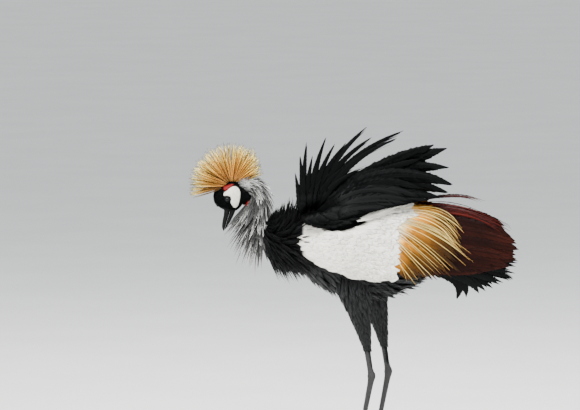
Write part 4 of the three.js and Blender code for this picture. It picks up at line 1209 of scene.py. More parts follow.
def make_hackles(sizes, colours):
    rng = np.random.default_rng(2)
    base, bend, tip, out, front, t = neck_plumes(HACKLES, rng)
    n = len(base)
    nape = (1 - ease(t, 0.14, 0.3)) * (1 - ease(front, 0.3, 0.7))
    width = sizes.hackle_width / MM * mix(0.85, 1.1, front) * mix(1, 0.82, nape)
    width = width * rng.uniform(0.85, 1.15, n)
    # Many plumes are painted dark, more of them down the neck: painted shade in the gaps between the pale
    # plumes.
    dark = rng.uniform(0, 1, n) < mix(0.4, 0.6, ease(t, 0.1, 0.4))
    tint = np.where(dark, rng.uniform(0, 0.2, n), rng.uniform(0.45, 0.8, n))
    tint = np.clip(tint + 0.3 * nape, 0, 1)
    plumes = Vanes(bezier(base, bend, tip, 9), out, width, lance, tint)
    whole = Plumage().add(plumes, DIAMOND, 0.5, camber=0.5)
    long_ones = front > 0.3
    fringe = Vanes(plumes.path[long_ones], out[long_ones], width[long_ones], lance, plumes.tint[long_ones])
    whole.add_barbs(fringe, 6, rng, over=1.2, slant=2.8, width=0.3, camber=0.5, low=0.3)
    # The plumes are painted near black at their roots: painted shade of the under layers that show between
    # the plumes.
    stops = [(0.0, 0.04), (0.3, 0.12), (0.6, 0.42), (1.0, 1.2)]
    plume = plumage_material("Neck plumes", colours.grey, stops, edge=2.1, shaft=0.04, spread=0.85,
                             roughness=0.62, edge_from=0.4, barb_lines=60.0, shaft_wide=0.36)
    whole.build("neck_plumes", plume, "feathers_grey")


def black_plumage(colours, name, specular=0.055):
    # The plumes' edges are painted lighter: painted highlights along the edges of the black plumes.
    stops = [(0.0, 0.5), (0.5, 1), (1.0, 1.3)]
    return plumage_material(name, colours.black, stops, edge=1.8, shaft=0.5, spread=0.45, streaks=0.45,
                            roughness=0.5, specular=specular, edge_from=0.75, relief=0.7)


def make_ruff(colours):
    rng = np.random.default_rng(3)
    base, bend, tip, out, _, _ = neck_plumes(RUFF, rng)
    n = len(base)
    width = rng.uniform(6, 9.5, n)
    plumes = Vanes(bezier(base, bend, tip, 8), out, width * 0.85, lance, rng.uniform(0, 1, n))
    whole = Plumage().add(plumes, DIAMOND, 0.4, camber=0.25)
    whole.add_barbs(plumes, 7, rng, 0.18, over=1.5, slant=2.6, width=0.5, camber=0.25, low=0.2)
    whole.build("breast_plumes", black_plumage(colours, "Breast plumes", 0.13), "feathers_black")


# Mantle and scapulars.

# Tips of the raised plumes seen from the side, [x, z], from the front.
SPIKES = [
    [-143, 704], [-132, 747], [-116, 779], [-102, 747], [-91, 735], [-69, 792], [-48, 776],
    [-20, 779], [29, 816], [41, 792], [102, 790], [115, 806],
]
# Tips of the long ones that sweep back over the wing, from the highest to the lowest.
SWEEPS = [
    [188, 773], [220, 764], [225, 717], [233, 676], [222, 657], [208, 646], [176, 639], [140, 634],
]
# Tips of the plumes that hang over the wing's upper edge, from the front.
LOBES = [
    [-104, 588], [-88, 574], [-58, 571], [-24, 576], [8, 588], [34, 608], [62, 629], [98, 639],
    [140, 643],
]
SPIKE_ROOTS = [[-128, 602], [-120, 610], [-108, 616], [-100, 616], [-96, 610]]
SWEEP_ROOTS = [[-98, 614], [-94, 612], [-90, 606], [-86, 600], [-82, 594]]
LOBE_ROOTS = [[-126, 606], [-120, 612], [-108, 614], [-96, 612], [-84, 606], [-70, 604]]
# How far a plume bows out between its root and its tip, as a share of its length.
SPIKE_BOW = [[0.02], [0.04], [0.08], [0.16], [0.21]]
SWEEP_BOW = [[0.06], [0.09], [0.22], [0.31], [0.28], [0.2], [0.14], [0.1]]
LOBE_BOW = [[-0.12], [-0.14], [-0.1], [-0.02], [0.05], [0.06]]
# The plumes of the far side lie lower, so that both sides' tips line up in the photo.
FAR_SIDE_LOWER = 0.087
SPIKE_FAN = (SPIKES, SPIKE_ROOTS, SPIKE_BOW)
SWEEP_FAN = (SWEEPS, SWEEP_ROOTS, SWEEP_BOW)
LOBE_FAN = (LOBES, LOBE_ROOTS, LOBE_BOW)
BETWEEN_SPIKES = 16
OVER_SWEEPS = 12
LOBE_COUNT = 40


def spread_out(count, low, high, rng):
    """Shares from 0 to 1, one drawn within each of as many even steps."""
    return (np.arange(count) + rng.uniform(low, high, count)) / count


def on_surface(skin, side, x, z, *heights):
    """Places on a skin of the crane, and the way that it faces at each."""
    here = skin(side, x, z, *heights)
    aft = skin(side, x + 1, z, *heights) - here
    above = skin(side, x, z + 1, *heights) - here
    return here, unit(np.cross(aft, above) * -side)


def shoulder_vanes(side, share, fan, shorten, inner, lift, width, shape, rng, rings=15):
    """Plumes on the cloak. The outer ones lie flat on it, and the inner ones face forward."""
    tips, roots, bows = fan
    tip, root = through(tips, share), through(roots, share)
    tip = mix(tip, root, shorten[:, None]) + rng.uniform(-1.2, 1.2, (len(share), 2))
    along = tip - root
    up = np.stack([-along[:, 1], along[:, 0]], -1) * through(bows, share)
    up = up * np.sign(along[:, :1])
    bend = root + along * 0.5 + up
    flat = bezier(root, bend, tip, rings)
    t = np.linspace(0, 1, rings)[None]
    sunk = mix(inner[:, None], 1, 0.4 * (1 - ease(t, 0, 0.3)))
    rise = lift[:, None] * ease(t, 0, 0.2)
    x, z = flat[..., 0], flat[..., 1]
    here, face = on_surface(cloak_skin, side, x, z, sunk, rise)
    here[..., 2] -= here[..., 1] * FAR_SIDE_LOWER * ease(t, 0, 0.5)
    along = unit(np.gradient(here, axis=1))
    forward = np.stack([-along[..., 2], 0 * x, along[..., 0]], -1)
    turned = ease(inner, 0.3, 0.8)[:, None, None]
    return Vanes(here, unit(mix(face, forward, turned)), width, shape, rng.uniform(0, 1, len(share)))


def raised_plumes(whole, side, inner, shorter, rng):
    """The upright spikes, with shorter plumes between them."""
    spikes = len(SPIKES)
    share = np.arange(spikes) / (spikes - 1)
    width = mix(15, 20, share) * rng.uniform(0.9, 1.1, spikes)
    cut = rng.uniform(*shorter, spikes)
    lift = rng.uniform(4, 9, spikes)
    vanes = shoulder_vanes(side, share, SPIKE_FAN, cut, inner + 0 * share, lift, width, spike, rng)
    whole.add_plumes(vanes, rng, 22, over=0.9)
    fill = BETWEEN_SPIKES
    share = spread_out(fill, 0.2, 0.8, rng)
    cut = rng.uniform(0.38, 0.55, fill)
    lift = rng.uniform(3, 10, fill)
    width = rng.uniform(14, 19, fill)
    vanes = shoulder_vanes(side, share, SPIKE_FAN, cut, inner + 0 * share, lift, width, lance, rng)
    whole.add_plumes(vanes, rng, 14, over=0.95)


def swept_plumes(whole, side, inner, first, rng):
    """The long plumes that the outline shows one by one, and shorter ones over them."""
    long_ones = len(SWEEPS) - first
    share = (np.arange(long_ones) + first) / (len(SWEEPS) - 1)
    width = mix(42, 28, share) * rng.uniform(0.92, 1.1, long_ones)
    lift = mix(3, 9, rng.uniform(0, 1, long_ones))
    vanes = shoulder_vanes(side, share, SWEEP_FAN, 0 * share, inner + 0 * share, lift, width, leaf, rng, 20)
    whole.add_plumes(vanes, rng, 36, over=0.93, camber=0.14)
    fill = OVER_SWEEPS
    share = spread_out(fill, 0.1, 0.9, rng) * (1 - first / 8) + first / 8
    cut = rng.uniform(0.12, 0.36, fill)
    lift = mix(8, 15, rng.uniform(0, 1, fill))
    width = rng.uniform(27, 37, fill)
    vanes = shoulder_vanes(side, share, SWEEP_FAN, cut, inner + 0 * share, lift, width, leaf, rng, 16)
    whole.add_plumes(vanes, rng, 22, over=0.95, camber=0.1)


def make_mantle(colours):
    rng = np.random.default_rng(5)
    whole = Plumage()
    for side in (LEFT, RIGHT):
        raised_plumes(whole, side, 0.95, (0.01, 0.05), rng)
        raised_plumes(whole, side, 0.7, (0.03, 0.12), rng)
        swept_plumes(whole, side, 0.9, 0, rng)
    whole.build("mantle_plumes", black_plumage(colours, "Mantle plumes"), "feathers_black", ["mantle"])
    whole = Plumage()
    for side in (LEFT, RIGHT):
        raised_plumes(whole, side, 0.52, (0.02, 0.08), rng)
        swept_plumes(whole, side, 0.66, 0, rng)
    whole.build("back_plumes", black_plumage(colours, "Back plumes"), "feathers_black")


def make_scapulars(colours):
    black = black_plumage(colours, "Scapular plumes")
    for name, side in SIDES.items():
        rng = np.random.default_rng(8 + side)
        whole = Plumage()
        raised_plumes(whole, side, 0.35, (0.0, 0.02), rng)
        swept_plumes(whole, side, 0.3, 0, rng)
        swept_plumes(whole, side, 0.0, 3, rng)
        count = LOBE_COUNT
        share = spread_out(count, 0.2, 0.8, rng)
        full, short = rng.uniform(0, 0.05, count), rng.uniform(0.05, 0.4, count)
        cut = np.where(np.arange(count) % 3 == 0, full, short)
        lift, width = mix(4, 11, cut / 0.4), rng.uniform(15, 22, count)
        vanes = shoulder_vanes(side, share, LOBE_FAN, cut, 0 * share, lift, width, leaf, rng, 11)
        whole.add_plumes(vanes, rng, 14, over=1.12, camber=0.06)
        whole.build("scapular_plumes_" + name, black, "feathers_black", ["scapulars_" + name])


# Wings. In a fan each plume is a curve from its root past a bend to its tip, all [x, z].

COVERT_FAN = {
    "roots": [[88, 624], [88, 612], [86, 598], [84, 582], [82, 562], [82, 535], [84, 505]],
    "bends": [[214, 642], [204, 614], [188, 590], [170, 562], [142, 536], [124, 508], [108, 482]],
    "tips": [[262, 578], [257, 543], [280, 506], [266, 474], [220, 458], [172, 450], [122, 446]],
}
SECONDARY_FAN = {
    "roots": [[84, 600], [84, 565], [84, 525], [84, 488]],
    "bends": [[230, 640], [240, 584], [230, 530], [205, 484]],
    "tips": [[362, 574], [388, 536], [396, 512], [378, 484], [300, 472]],
}
PRIMARY_FAN = {
    "roots": [[84, 540], [84, 518], [84, 500], [84, 486]],
    "bends": [[220, 520], [240, 500], [266, 486], [282, 482]],
    "tips": [[398, 492], [374, 450], [322, 424], [244, 396]],
}
STRAND_FAN = {
    "roots": [[140, 640], [140, 630], [150, 622], [160, 612]],
    "bends": [[258, 660], [262, 642], [276, 626], [286, 612]],
    "tips": [[315, 638], [378, 577], [374, 570], [372, 560]],
}


# White feathers that lie over the scapulars' lower edge.
WEDGE_ROOTS = [[4, 599], [14, 603], [24, 608], [40, 613], [54, 618]]
WEDGE_TIPS = [[74, 614], [88, 622], [100, 630], [114, 634], [124, 638]]


def wing_vanes(side, flat, low_lift, high_lift, width, shape, rng, tip_share=0.03):
    """Vanes on the wing's skin along paths (n, m, 2) of [x, z]."""
    t = np.linspace(0, 1, flat.shape[1])[None]
    lift = mix(low_lift[..., None] + 0 * t, high_lift[..., None] + 0 * t, ease(t, 0, 0.8))
    here, face = on_surface(wing_skin, side, flat[..., 0], flat[..., 1], lift)
    return Vanes(here, face, width, shape, rng.uniform(0, 1, len(flat)), tip_share)


def fan_paths(fan, share, rng, rings, ragged, jitter=3.0, roots_on=0.0):
    """Curves at shares of a fan, with uneven ends and roots up to a way along the wing."""
    n = len(share)
    root, bend, tip = (through(fan[k], share) for k in ("roots", "bends", "tips"))
    root = root + np.stack([rng.uniform(0, roots_on, n) if roots_on else np.zeros(n), 0 * share], -1)
    tip = mix(tip, root, rng.uniform(0, ragged, n)[:, None]) + rng.uniform(-jitter, jitter, (n, 2))
    bend = bend + rng.uniform(-jitter, jitter, (n, 2))
    return bezier(root, bend, tip, rings)


COVERTS_FROM_X, COVERTS_TO_X = -142, 106
COVERT_STEP = 11  # between the rows, and between the feathers of a row
SHORTEST_COVERT = 16


def make_coverts(colours):
    """White coverts in rows like shingles, from the shoulder to the gold."""
    # The coverts are painted darker toward their roots and at their edges: painted shade where the feathers
    # overlap.
    plume = plumage_material("White coverts", colours.white, [(0.0, 0.85), (0.5, 0.97), (1.0, 1)], edge=0.9,
                             shaft=0.86, spread=0.06, streaks=0.1, roughness=0.7, barb_lines=50.0,
                             edge_from=0.8, relief=0.3)
    wedge_roots, wedge_tips = np.array(WEDGE_ROOTS, float), np.array(WEDGE_TIPS, float)
    for name, side in SIDES.items():
        rng = np.random.default_rng(20 + side)
        roots = []
        for row, x in enumerate(np.arange(COVERTS_FROM_X, COVERTS_TO_X, COVERT_STEP)):
            low, high = arm_edges(x)
            high = high - 6 if x < 20 else high + 8
            count = max(3, round((high - low) / COVERT_STEP))
            z = low + 3 + (high - low - 4) * (np.arange(count) + 0.5 * (row % 2) + 0.25) / count
            roots.append(np.stack([np.full(count, x), z], -1))
        root = np.concatenate(roots)
        root = root + rng.uniform(-1.6, 1.6, root.shape)
        n = len(root)
        across = wing_across(root[:, 0], root[:, 1])
        size = ease(root[:, 0], -150, -70)
        length = mix(22, 46, size) * rng.uniform(0.9, 1.2, n)
        slope = np.radians(-8 + 13 * across + rng.uniform(-9, 9, n))
        limit = mix(98, 150, ease(root[:, 1], 578, 622)) + rng.uniform(-13, 11, n)
        length = np.clip(length, 0, limit - root[:, 0])
        kept = (length > SHORTEST_COVERT) & ((root[:, 0] > -126) | (root[:, 1] < 562))
        root, length, slope, size, n = root[kept], length[kept], slope[kept], size[kept], kept.sum()
        tip = root + np.stack([np.cos(slope), np.sin(slope)], -1) * length[:, None]
        bend = (root + tip) / 2 + np.stack([-np.sin(slope), np.cos(slope)], -1) * 1.5
        flat = bezier(root, bend, tip, 6)
        high_lift = rng.uniform(-0.05, 0.12, n)
        width = mix(14, 24, size) * rng.uniform(0.8, 1.15, n)
        vanes = wing_vanes(side, flat, -1.5 + 0 * high_lift, high_lift, width, leaf, rng, 0.12)
        whole = Plumage().add(vanes, BROAD, 0.09, camber=0.05)
        whole.add_barbs(vanes, 9, rng, 0.07, over=1.15, slant=2.2, width=1.1, low=0.5, high=0.96,
                        camber=0.05, lift=0.3)
        flat = bezier(wedge_roots, (wedge_roots + wedge_tips) / 2 + (0, 3), wedge_tips, 8)
        lift = np.full(len(wedge_roots), 12.5)
        over = wing_vanes(side, flat, lift, lift - 8, rng.uniform(12, 17, len(lift)), leaf, rng, 0.12)
        whole.add(over, BROAD, 0.2, camber=0.1)
        whole.add_barbs(over, 14, rng, 0.1, over=1.1, slant=2.2, width=1.0, low=0.3, camber=0.1, lift=0.3)
        whole.build("white_coverts_" + name, plume, "feathers_white")


GOLD_COUNT = 40
BOLD_THREADS, FINE_THREADS = 12, 22


def make_gold(colours):
    """Long feathers from white through gold to dark, and fine cream threads over them."""
    white = tuple(colours.white)
    stops = [(0.0, white), (0.13, srgb(246, 222, 168)), (0.22, srgb(222, 164, 74)), (0.3, 1.1),
             (0.46, 0.72), (0.62, 0.24), (0.8, 0.08), (1.0, 0.04)]
    vane_gold = plumage_material("Gold coverts", colours.gold, stops, edge=0.45, spread=0.35,
                                 streaks=0.5, roughness=0.6, specular=0.15, barb_lines=70.0, edge_from=0.7)
    stops = [(0.0, white), (0.3, 1.1), (0.8, 1), (1.0, srgb(226, 170, 84))]
    thread = plumage_material("Cream threads", colours.cream, stops, spread=0.12, streaks=0.08,
                              roughness=0.45)
    for name, side in SIDES.items():
        rng = np.random.default_rng(40 + side)
        n = GOLD_COUNT
        share = spread_out(n, 0.1, 0.9, rng)
        flat = fan_paths(COVERT_FAN, share, rng, 13, ragged=0.22, roots_on=10)
        lift = rng.uniform(-4.5, -0.8, n)
        vanes = wing_vanes(side, flat, lift - 1, lift + 0.6, rng.uniform(15, 21, n), lance, rng)
        whole = Plumage().add_plumes(vanes, rng, 20, over=1.3, camber=0.06, low=0.1)
        whole.build("gold_coverts_" + name, vane_gold, "feathers_gold", [f"wing_{name}_coverts"])
        bold, fine = BOLD_THREADS, FINE_THREADS
        n = bold + fine
        spaced = (np.arange(bold) + rng.uniform(-0.3, 0.3, bold)) / (bold - 1)
        share = np.concatenate([np.clip(spaced, 0, 1) ** 1.15 * 0.92, rng.uniform(0, 1, fine)])
        flat = fan_paths(COVERT_FAN, share, rng, 16, ragged=0.22, jitter=6.0, roots_on=30)
        lift = rng.uniform(1.2, 3.2, n)
        width = np.where(np.arange(n) < bold, mix(2.8, 1.4, share) * rng.uniform(0.5, 1.15, n), 0.8)
        threads = wing_vanes(side, flat, lift - 3.5, lift, width, strand, rng, 0.1)
        Plumage().add(threads, DIAMOND, 0.3).build("gold_threads_" + name, thread, "feathers_gold")


SECONDARY_COUNT = 20
PRIMARY_COUNT = 11
TERTIAL_COUNT = 18
TAIL_COUNT = 12
STRAND_COUNT = 20


def make_flight(colours):
    """The chestnut secondaries with their loose strands, and the black primaries."""
    maroon = plumage_material(
        "Chestnut secondaries", colours.chestnut, [(0.0, 0.5), (0.75, 0.75), (1.0, 1.5)], edge=1.25,
        shaft=0.35, spread=0.3, streaks=0.45, roughness=0.62, specular=0.07, relief=0.6)
    loose = plumage_material(
        "Chestnut strands", colours.chestnut, [(0.0, 0.6), (0.35, srgb(62, 13, 8)), (1.0, srgb(74, 17, 11))],
        spread=0.5, streaks=0.3, roughness=0.55, specular=0.1)
    black = black_plumage(colours, "Primary feathers")
    for name, side in SIDES.items():
        rng = np.random.default_rng(60 + side)
        n = SECONDARY_COUNT
        share = (np.arange(n) + 0.5) / n
        flat = fan_paths(SECONDARY_FAN, share, rng, 18, ragged=0.05)
        lift = -12.5 + 3.0 * (np.arange(n) % 3) / 2
        vanes = wing_vanes(side, flat, lift, lift, rng.uniform(26, 32, n), spoon, rng)
        whole = Plumage().add_plumes(vanes, rng, 40, over=1.02, camber=0.08, lift=0.4)
        whole.build("secondaries_" + name, maroon, "feathers_chestnut", [f"wing_{name}_secondaries"])
        n = STRAND_COUNT
        share = np.concatenate([[0.0, 0.03], rng.uniform(0.3, 1, n - 2)])
        flat = fan_paths(STRAND_FAN, share, rng, 14, ragged=0.22, jitter=4.0, roots_on=20)
        lift = rng.uniform(-6, 0, n)
        width = np.where(np.arange(n) < 2, 4.6, rng.uniform(1.8, 3.8, n))
        strands = wing_vanes(side, flat, lift - 3, lift, width, lance, rng, 0.1)
        whole = Plumage().add(strands, DIAMOND, 0.3)
        whole.add_barbs(strands, 14, rng, 0.14, over=1.7, slant=5.0, width=0.22, low=0.2)
        whole.build("chestnut_strands_" + name, loose, "feathers_chestnut")
        n = PRIMARY_COUNT
        share = (np.arange(n) + 0.5) / n
        flat = fan_paths(PRIMARY_FAN, share, rng, 16, ragged=0.03)
        lift = -19 + 4 * (np.arange(n) % 3) / 2
        vanes = wing_vanes(side, flat, lift, lift, rng.uniform(20, 24, n), leaf, rng)
        whole = Plumage().add_plumes(vanes, rng, 32, over=1.03, camber=0.06, lift=0.3)
        whole.build("primaries_" + name, black, "feathers_black", [f"wing_{name}_primaries"])
    make_tertials(maroon)


def make_tertials(maroon):
    """Inner feathers that cover the rump between the wings."""
    rng = np.random.default_rng(66)
    n = TERTIAL_COUNT
    across = np.linspace(-1, 1, n) + rng.uniform(-0.04, 0.04, n)
    inner = 1 - np.abs(across)
    layer = 2.5 * (np.arange(n) % 2)
    root = np.stack([150 + 16 * inner, 44 * across, 602 - 8 * inner + layer], -1)
    bend = np.stack([250 + 0 * inner, 48 * across, 615 - 16 * inner + layer], -1)
    tip = np.stack([350 - 26 * inner + rng.uniform(-8, 8, n), 25 * across, 558 - 18 * inner + layer], -1)
    face = unit(np.stack([np.full(n, 0.1), across * 0.7, np.ones(n)], -1))
    vanes = Vanes(bezier(root, bend, tip, 14), face, rng.uniform(24, 30, n), leaf, rng.uniform(0, 1, n))
    whole = Plumage().add_plumes(vanes, rng, 26, over=1.02, lift=0.4)
    whole.build("tertials", maroon, "feathers_chestnut")


def make_tail(colours):
    rng = np.random.default_rng(71)
    n = TAIL_COUNT
    across = np.linspace(-1, 1, n)
    layer = (1 - np.abs(across)) * 6 + (across > 0) * 0.7
    root = np.stack([np.full(n, 230.0), across * 12, 519 + layer], -1)
    bend = np.stack([np.full(n, 306.0), across * 20, 500 + layer], -1)
    tip = np.stack([382 - 8 * across**2 + rng.uniform(-4, 4, n), across * 22, 446 + layer], -1)
    face = unit(np.stack([np.full(n, 0.35), across * 0.3, np.ones(n)], -1))
    vanes = Vanes(bezier(root, bend, tip, 16), face, rng.uniform(20, 24, n), spoon, rng.uniform(0, 1, n))
    whole = Plumage().add_plumes(vanes, rng, 34, over=1.03, camber=0.08, lift=0.3)
    whole.build("tail_feathers", black_plumage(colours, "Tail feathers"), "feathers_black", ["tail"])


# Body.


BODY_FROM_X, BODY_TO_X = -150, 226
BODY_ROW_STEP = 11.0
BODY_AROUND = 50
HIDDEN_FROM_X, HIDDEN_TO_X = -118, 70  # the arm hides the body's feathers between these
THIGH_ROWS, THIGH_AROUND = 22, 22


def make_body_feathers(colours):
    """Contour feathers in rows round the torso, and longer loose ones under the belly."""
    rng = np.random.default_rng(81)
    rows = np.arange(BODY_FROM_X, BODY_TO_X, BODY_ROW_STEP)
    around = BODY_AROUND
    x = np.repeat(rows, around) + rng.uniform(-2, 2, len(rows) * around)
    angle = 2 * pi * (staggered(len(rows), around) + rng.uniform(-0.005, 0.005, len(x)))
    height = torso_point(x, angle, -2)[:, 2]
    low, high = arm_edges(x)
    under_wing = (x > HIDDEN_FROM_X) & (x < HIDDEN_TO_X) & (height > low + 16) & (height < high - 14)
    hidden = under_wing & (np.abs(np.cos(angle)) > 0.35)
    x, angle = x[~hidden], angle[~hidden]
    n = len(x)
    below = ease(-np.sin(angle), 0.3, 0.9) * (1 - ease(x, 90, 190))
    rump = 1 - ease(x, 150, 226)
    length = mix(30, 60, below) * mix(0.7, 1, rump) * rng.uniform(0.8, 1.2, n)
    t = np.linspace(0, 1, 6)[None]
    lift = mix(3.2, 9.0, below)[:, None] * rng.uniform(0.6, 1.3, (n, 1))
    sideways = rng.uniform(-0.1, 0.1, (n, 1)) * t**2
    rise = mix(-3.0, lift, t**0.9)
    reach = np.minimum(x[:, None] + length[:, None] * t, 238)
    path = torso_point(reach, angle[:, None] + sideways, rise)
    path[..., 2] -= (below * length)[:, None] * rng.uniform(0.1, 0.34, (n, 1)) * t**2
    face = torso_point(x, angle, 6) - torso_point(x, angle, -6)
    width = mix(19, 15, below) * rng.uniform(0.85, 1.1, n)
    vanes = Vanes(path, face, width, spoon, rng.uniform(0, 1, n), 0.15)
    whole = Plumage().add(vanes, BROAD, 0.25, camber=0.14)
    loose = below > 0.2
    fringe = Vanes(path[loose], unit(face)[loose], 14.0, spoon, vanes.tint[loose])
    whole.add_barbs(fringe, 4, rng, over=1.25, slant=2.4, width=0.7, camber=0.14, low=0.35)
    plume = plumage_material("Body feathers", colours.slate, [(0.0, 0.5), (0.6, 1), (1.0, 0.85)], edge=1.5,
                             shaft=0.6, roughness=0.62, edge_from=0.8)
    whole.build("body_feathers", plume, "feathers_grey")


def thigh_point(line, share, turn, grow):
    """Places on a thigh at shares of its middle line, turned round it."""
    share = np.clip(share, 0, 1.06)
    past = (line[3] - line[2]) * np.maximum(share - 1, 0)[..., None] * 3
    size = through(THIGH_RADII[:4], share)
    deep, wide = (size[..., 0] + grow) * np.cos(turn), (size[..., 1] + grow) * np.sin(turn)
    return through(line, share) + past + np.stack([deep, wide, 0 * deep], -1)


def make_thigh_feathers(colours):
    rng = np.random.default_rng(91)
    whole = Plumage()
    rows, around = THIGH_ROWS, THIGH_AROUND
    share = np.repeat(np.linspace(0.1, 0.93, rows), around)
    turn = 2 * pi * staggered(rows, around)
    n = len(share)
    t = np.linspace(0, 1, 6)[None]
    for side in (LEFT, RIGHT):
        path = leg_path(side)
        line = np.array([path[k] for k in ("hip", "thigh", "calf", "bare")], float)
        length = (mix(0.24, 0.11, share) * rng.uniform(0.8, 1.15, n))[:, None]
        turned = turn[:, None] + rng.uniform(-0.16, 0.16, (n, 1)) * t
        lift = mix(9, 1.8, share**0.6)[:, None] * rng.uniform(0.6, 1.2, (n, 1))
        paths = thigh_point(line, share[:, None] + length * t, turned, mix(-1.5, lift, t))
        out = np.stack([np.cos(turn), np.sin(turn), 0 * turn], -1)
        width = mix(15, 6, share) * rng.uniform(0.85, 1.1, n)
        vanes = Vanes(paths, out, width, spoon, rng.uniform(0, 1, n), 0.15)
        whole.add(vanes, DIAMOND, 0.3, camber=0.2)
    plume = plumage_material("Thigh feathers", colours.slate, [(0.0, 0.5), (0.6, 0.8), (1.0, 1)], edge=1.3,
                             roughness=0.65)
    whole.build("thigh_feathers", plume, "feathers_grey")


def surface_of(name):
    """The finished skin in millimetres, with its normals."""
    mesh = bpy.data.objects[name].data
    return mesh, mesh_points(mesh) / MM - SHIFT, mesh_normals(mesh)


def attribute_values(mesh, name):
    values = np.empty(len(mesh.vertices))
    mesh.attributes[name].data.foreach_get("value", values)
    return values


VELVET_COUNT = 12500
NAPE_COUNT = 1300
HEAD_REACH = 70  # small feathers grow as near to the head's middle as this
CLEAR_OF_CHEEK, CLEAR_OF_BROW, CLEAR_OF_EYE = 1.3, 0.8, 8.2
VELVET_HIND_X, VELVET_LOW_Z, VELVET_BILL = -250, 604, 33
NAPE_LOW_Z = 642


def laid_down(normals, back, rise, ragged, rng):
    """Ways that lie along the skin toward the back, a little raised and ruffled."""
    flat = back - normals * (normals @ back)[:, None]
    return unit(flat + normals * rise + rng.normal(0, ragged, normals.shape))


def make_velvet(colours):
    """Short plush on the forehead, crown, chin and throat, and small grey feathers on the nape."""
    rng = np.random.default_rng(101)
    mesh, points, normals = surface_of("skin")
    f, u, o = head_measures(points)
    x, _, z = points.T
    cheek, brow = (attribute_values(mesh, k) for k in ("Cheek", "Brow"))
    round_eye = np.hypot(f - EYE_FORWARD, (u - EYE_UP) / LID_SQUASH)
    at_eye = (round_eye < CLEAR_OF_EYE) & (np.abs(o) > 10)
    clear = (cheek > CLEAR_OF_CHEEK) & (brow > CLEAR_OF_BROW) & ~at_eye
    near = np.linalg.norm(points - HEAD_CENTRE, axis=1) < HEAD_REACH
    behind = x + 1.1 * (z - 671) + 272
    nape = near & (behind > 0) & (z > NAPE_LOW_Z)
    black = near & clear & ~nape & (x < VELVET_HIND_X) & (z > VELVET_LOW_Z) & (f < VELVET_BILL)
    index = rng.permutation(np.flatnonzero(black))[:VELVET_COUNT]
    p, nrm = points[index], normals[index]
    way = laid_down(nrm, unit(-HEAD_FORWARD * 0.8 - HEAD_UP * 0.2), 0.2, 0.1, rng)
    long = rng.uniform(2.6, 4.2, (len(p), 1))
    path = bezier(p - nrm * 0.5, p + way * long * 0.5 + nrm * 0.3, p + way * long, 3)
    tufts = Vanes(path, nrm, 0.9, lance, rng.uniform(0, 1, len(p)))
    dark = plumage_material("Velvet", colours.velvet, [(0.0, 0.6), (1.0, 1.6)], spread=0.4,
                            roughness=0.85, specular=0.06)
    Plumage().add(tufts, SLIVER, 0.2).build("velvet", dark, "velvet")
    index = rng.permutation(np.flatnonzero(nape))[:NAPE_COUNT]
    p, nrm = points[index], normals[index]
    way = laid_down(nrm, unit(np.array((0.75, 0, -0.35))), 0.22, 0.08, rng)
    long = rng.uniform(9, 15, (len(p), 1))
    pale = mix(0.16, 0.95, ease(behind[index] + 0.3 * (p[:, 2] - 655), -2, 27))
    pale = np.clip(pale + rng.uniform(-0.22, 0.22, len(p)), 0, 1)
    path = bezier(p - nrm * 1.0, p + way * long * 0.5 + nrm * 0.8, p + way * long, 6)
    feathers = Vanes(path, nrm, rng.uniform(3.0, 4.2, len(p)), lance, pale)
    smooth = plumage_material("Nape feathers", colours.grey, [(0.0, 0.3), (0.5, 0.55), (1.0, 0.85)], edge=1.3,
                              spread=0.85, roughness=0.65, edge_from=0.4)
    Plumage().add(feathers, DIAMOND, 0.3, camber=0.25).build("nape_feathers", smooth, "feathers_grey")


# Legs.

TOES = [[0, 88, 6], [27, 66, 5.6], [-27, 64, 5.6], [165, 36, 5]]  # [turn in degrees, length, radius]
TOE_PADS = ((0.0, 9, 1), (0.3, 4.8, 0.86), (0.6, 4.6, 0.9), (0.8, 3.6, 0.7), (1.0, 3.6, 0.62))
CLAW_LENGTH = 13
# Along a claw: [millimetres past the toe's end, height, share of the toe's radius].
CLAW_LINE = ((-5, 4.2, 0.5), (1, 4.8, 0.54), (7, 4.2, 0.36), (CLAW_LENGTH, 1.2, 0.06))
# [deep, wide] down the shank, from above the hock to the ankle.
SHANK_RADII = [[8, 7.6], [7.6, 7.2], [6.8, 6.6], [8, 7.4], [10, 8.6], [7.4, 6.6], [5.8, 5.2], [6.4, 5.8],
               [8.4, 8]]


def toe_point(side, turn, distance, height):
    heading = radians(180 + turn * side)
    return [FOOT_X[side] + cos(heading) * distance, side * FOOT_Y + sin(heading) * distance, height]


def leg_forms(side):
    path = leg_path(side)
    hock, ankle, bare = (np.array(path[k], float) for k in ("hock", "ankle", "bare"))
    shank = [
        bare + (bare - hock) * 0.5, bare, mix(bare, hock, 0.6), hock + (-1.5, 0, 14), hock + (0, 0, 4),
        mix(hock, ankle, 0.08), mix(hock, ankle, 0.5), mix(hock, ankle, 0.9), ankle - (0.5, 0, 4),
    ]
    forms = [tube_form(shank, SHANK_RADII, 36, 120)]
    for turn, length, thick in TOES:
        line = [toe_point(side, turn, length * share, height) for share, height, _ in TOE_PADS]
        radii = [[thick * k] * 2 for _, _, k in TOE_PADS]
        forms.append(tube_form(line, radii, 20, 40))
    forms.append(ball((ankle[0] - 1.5, ankle[1], 6), (9.5, 9.5, 7)))
    return forms


SCUTE_HEIGHT = 6.2  # down the front of the shank
TOE_SCUTE = 4.6  # along a toe


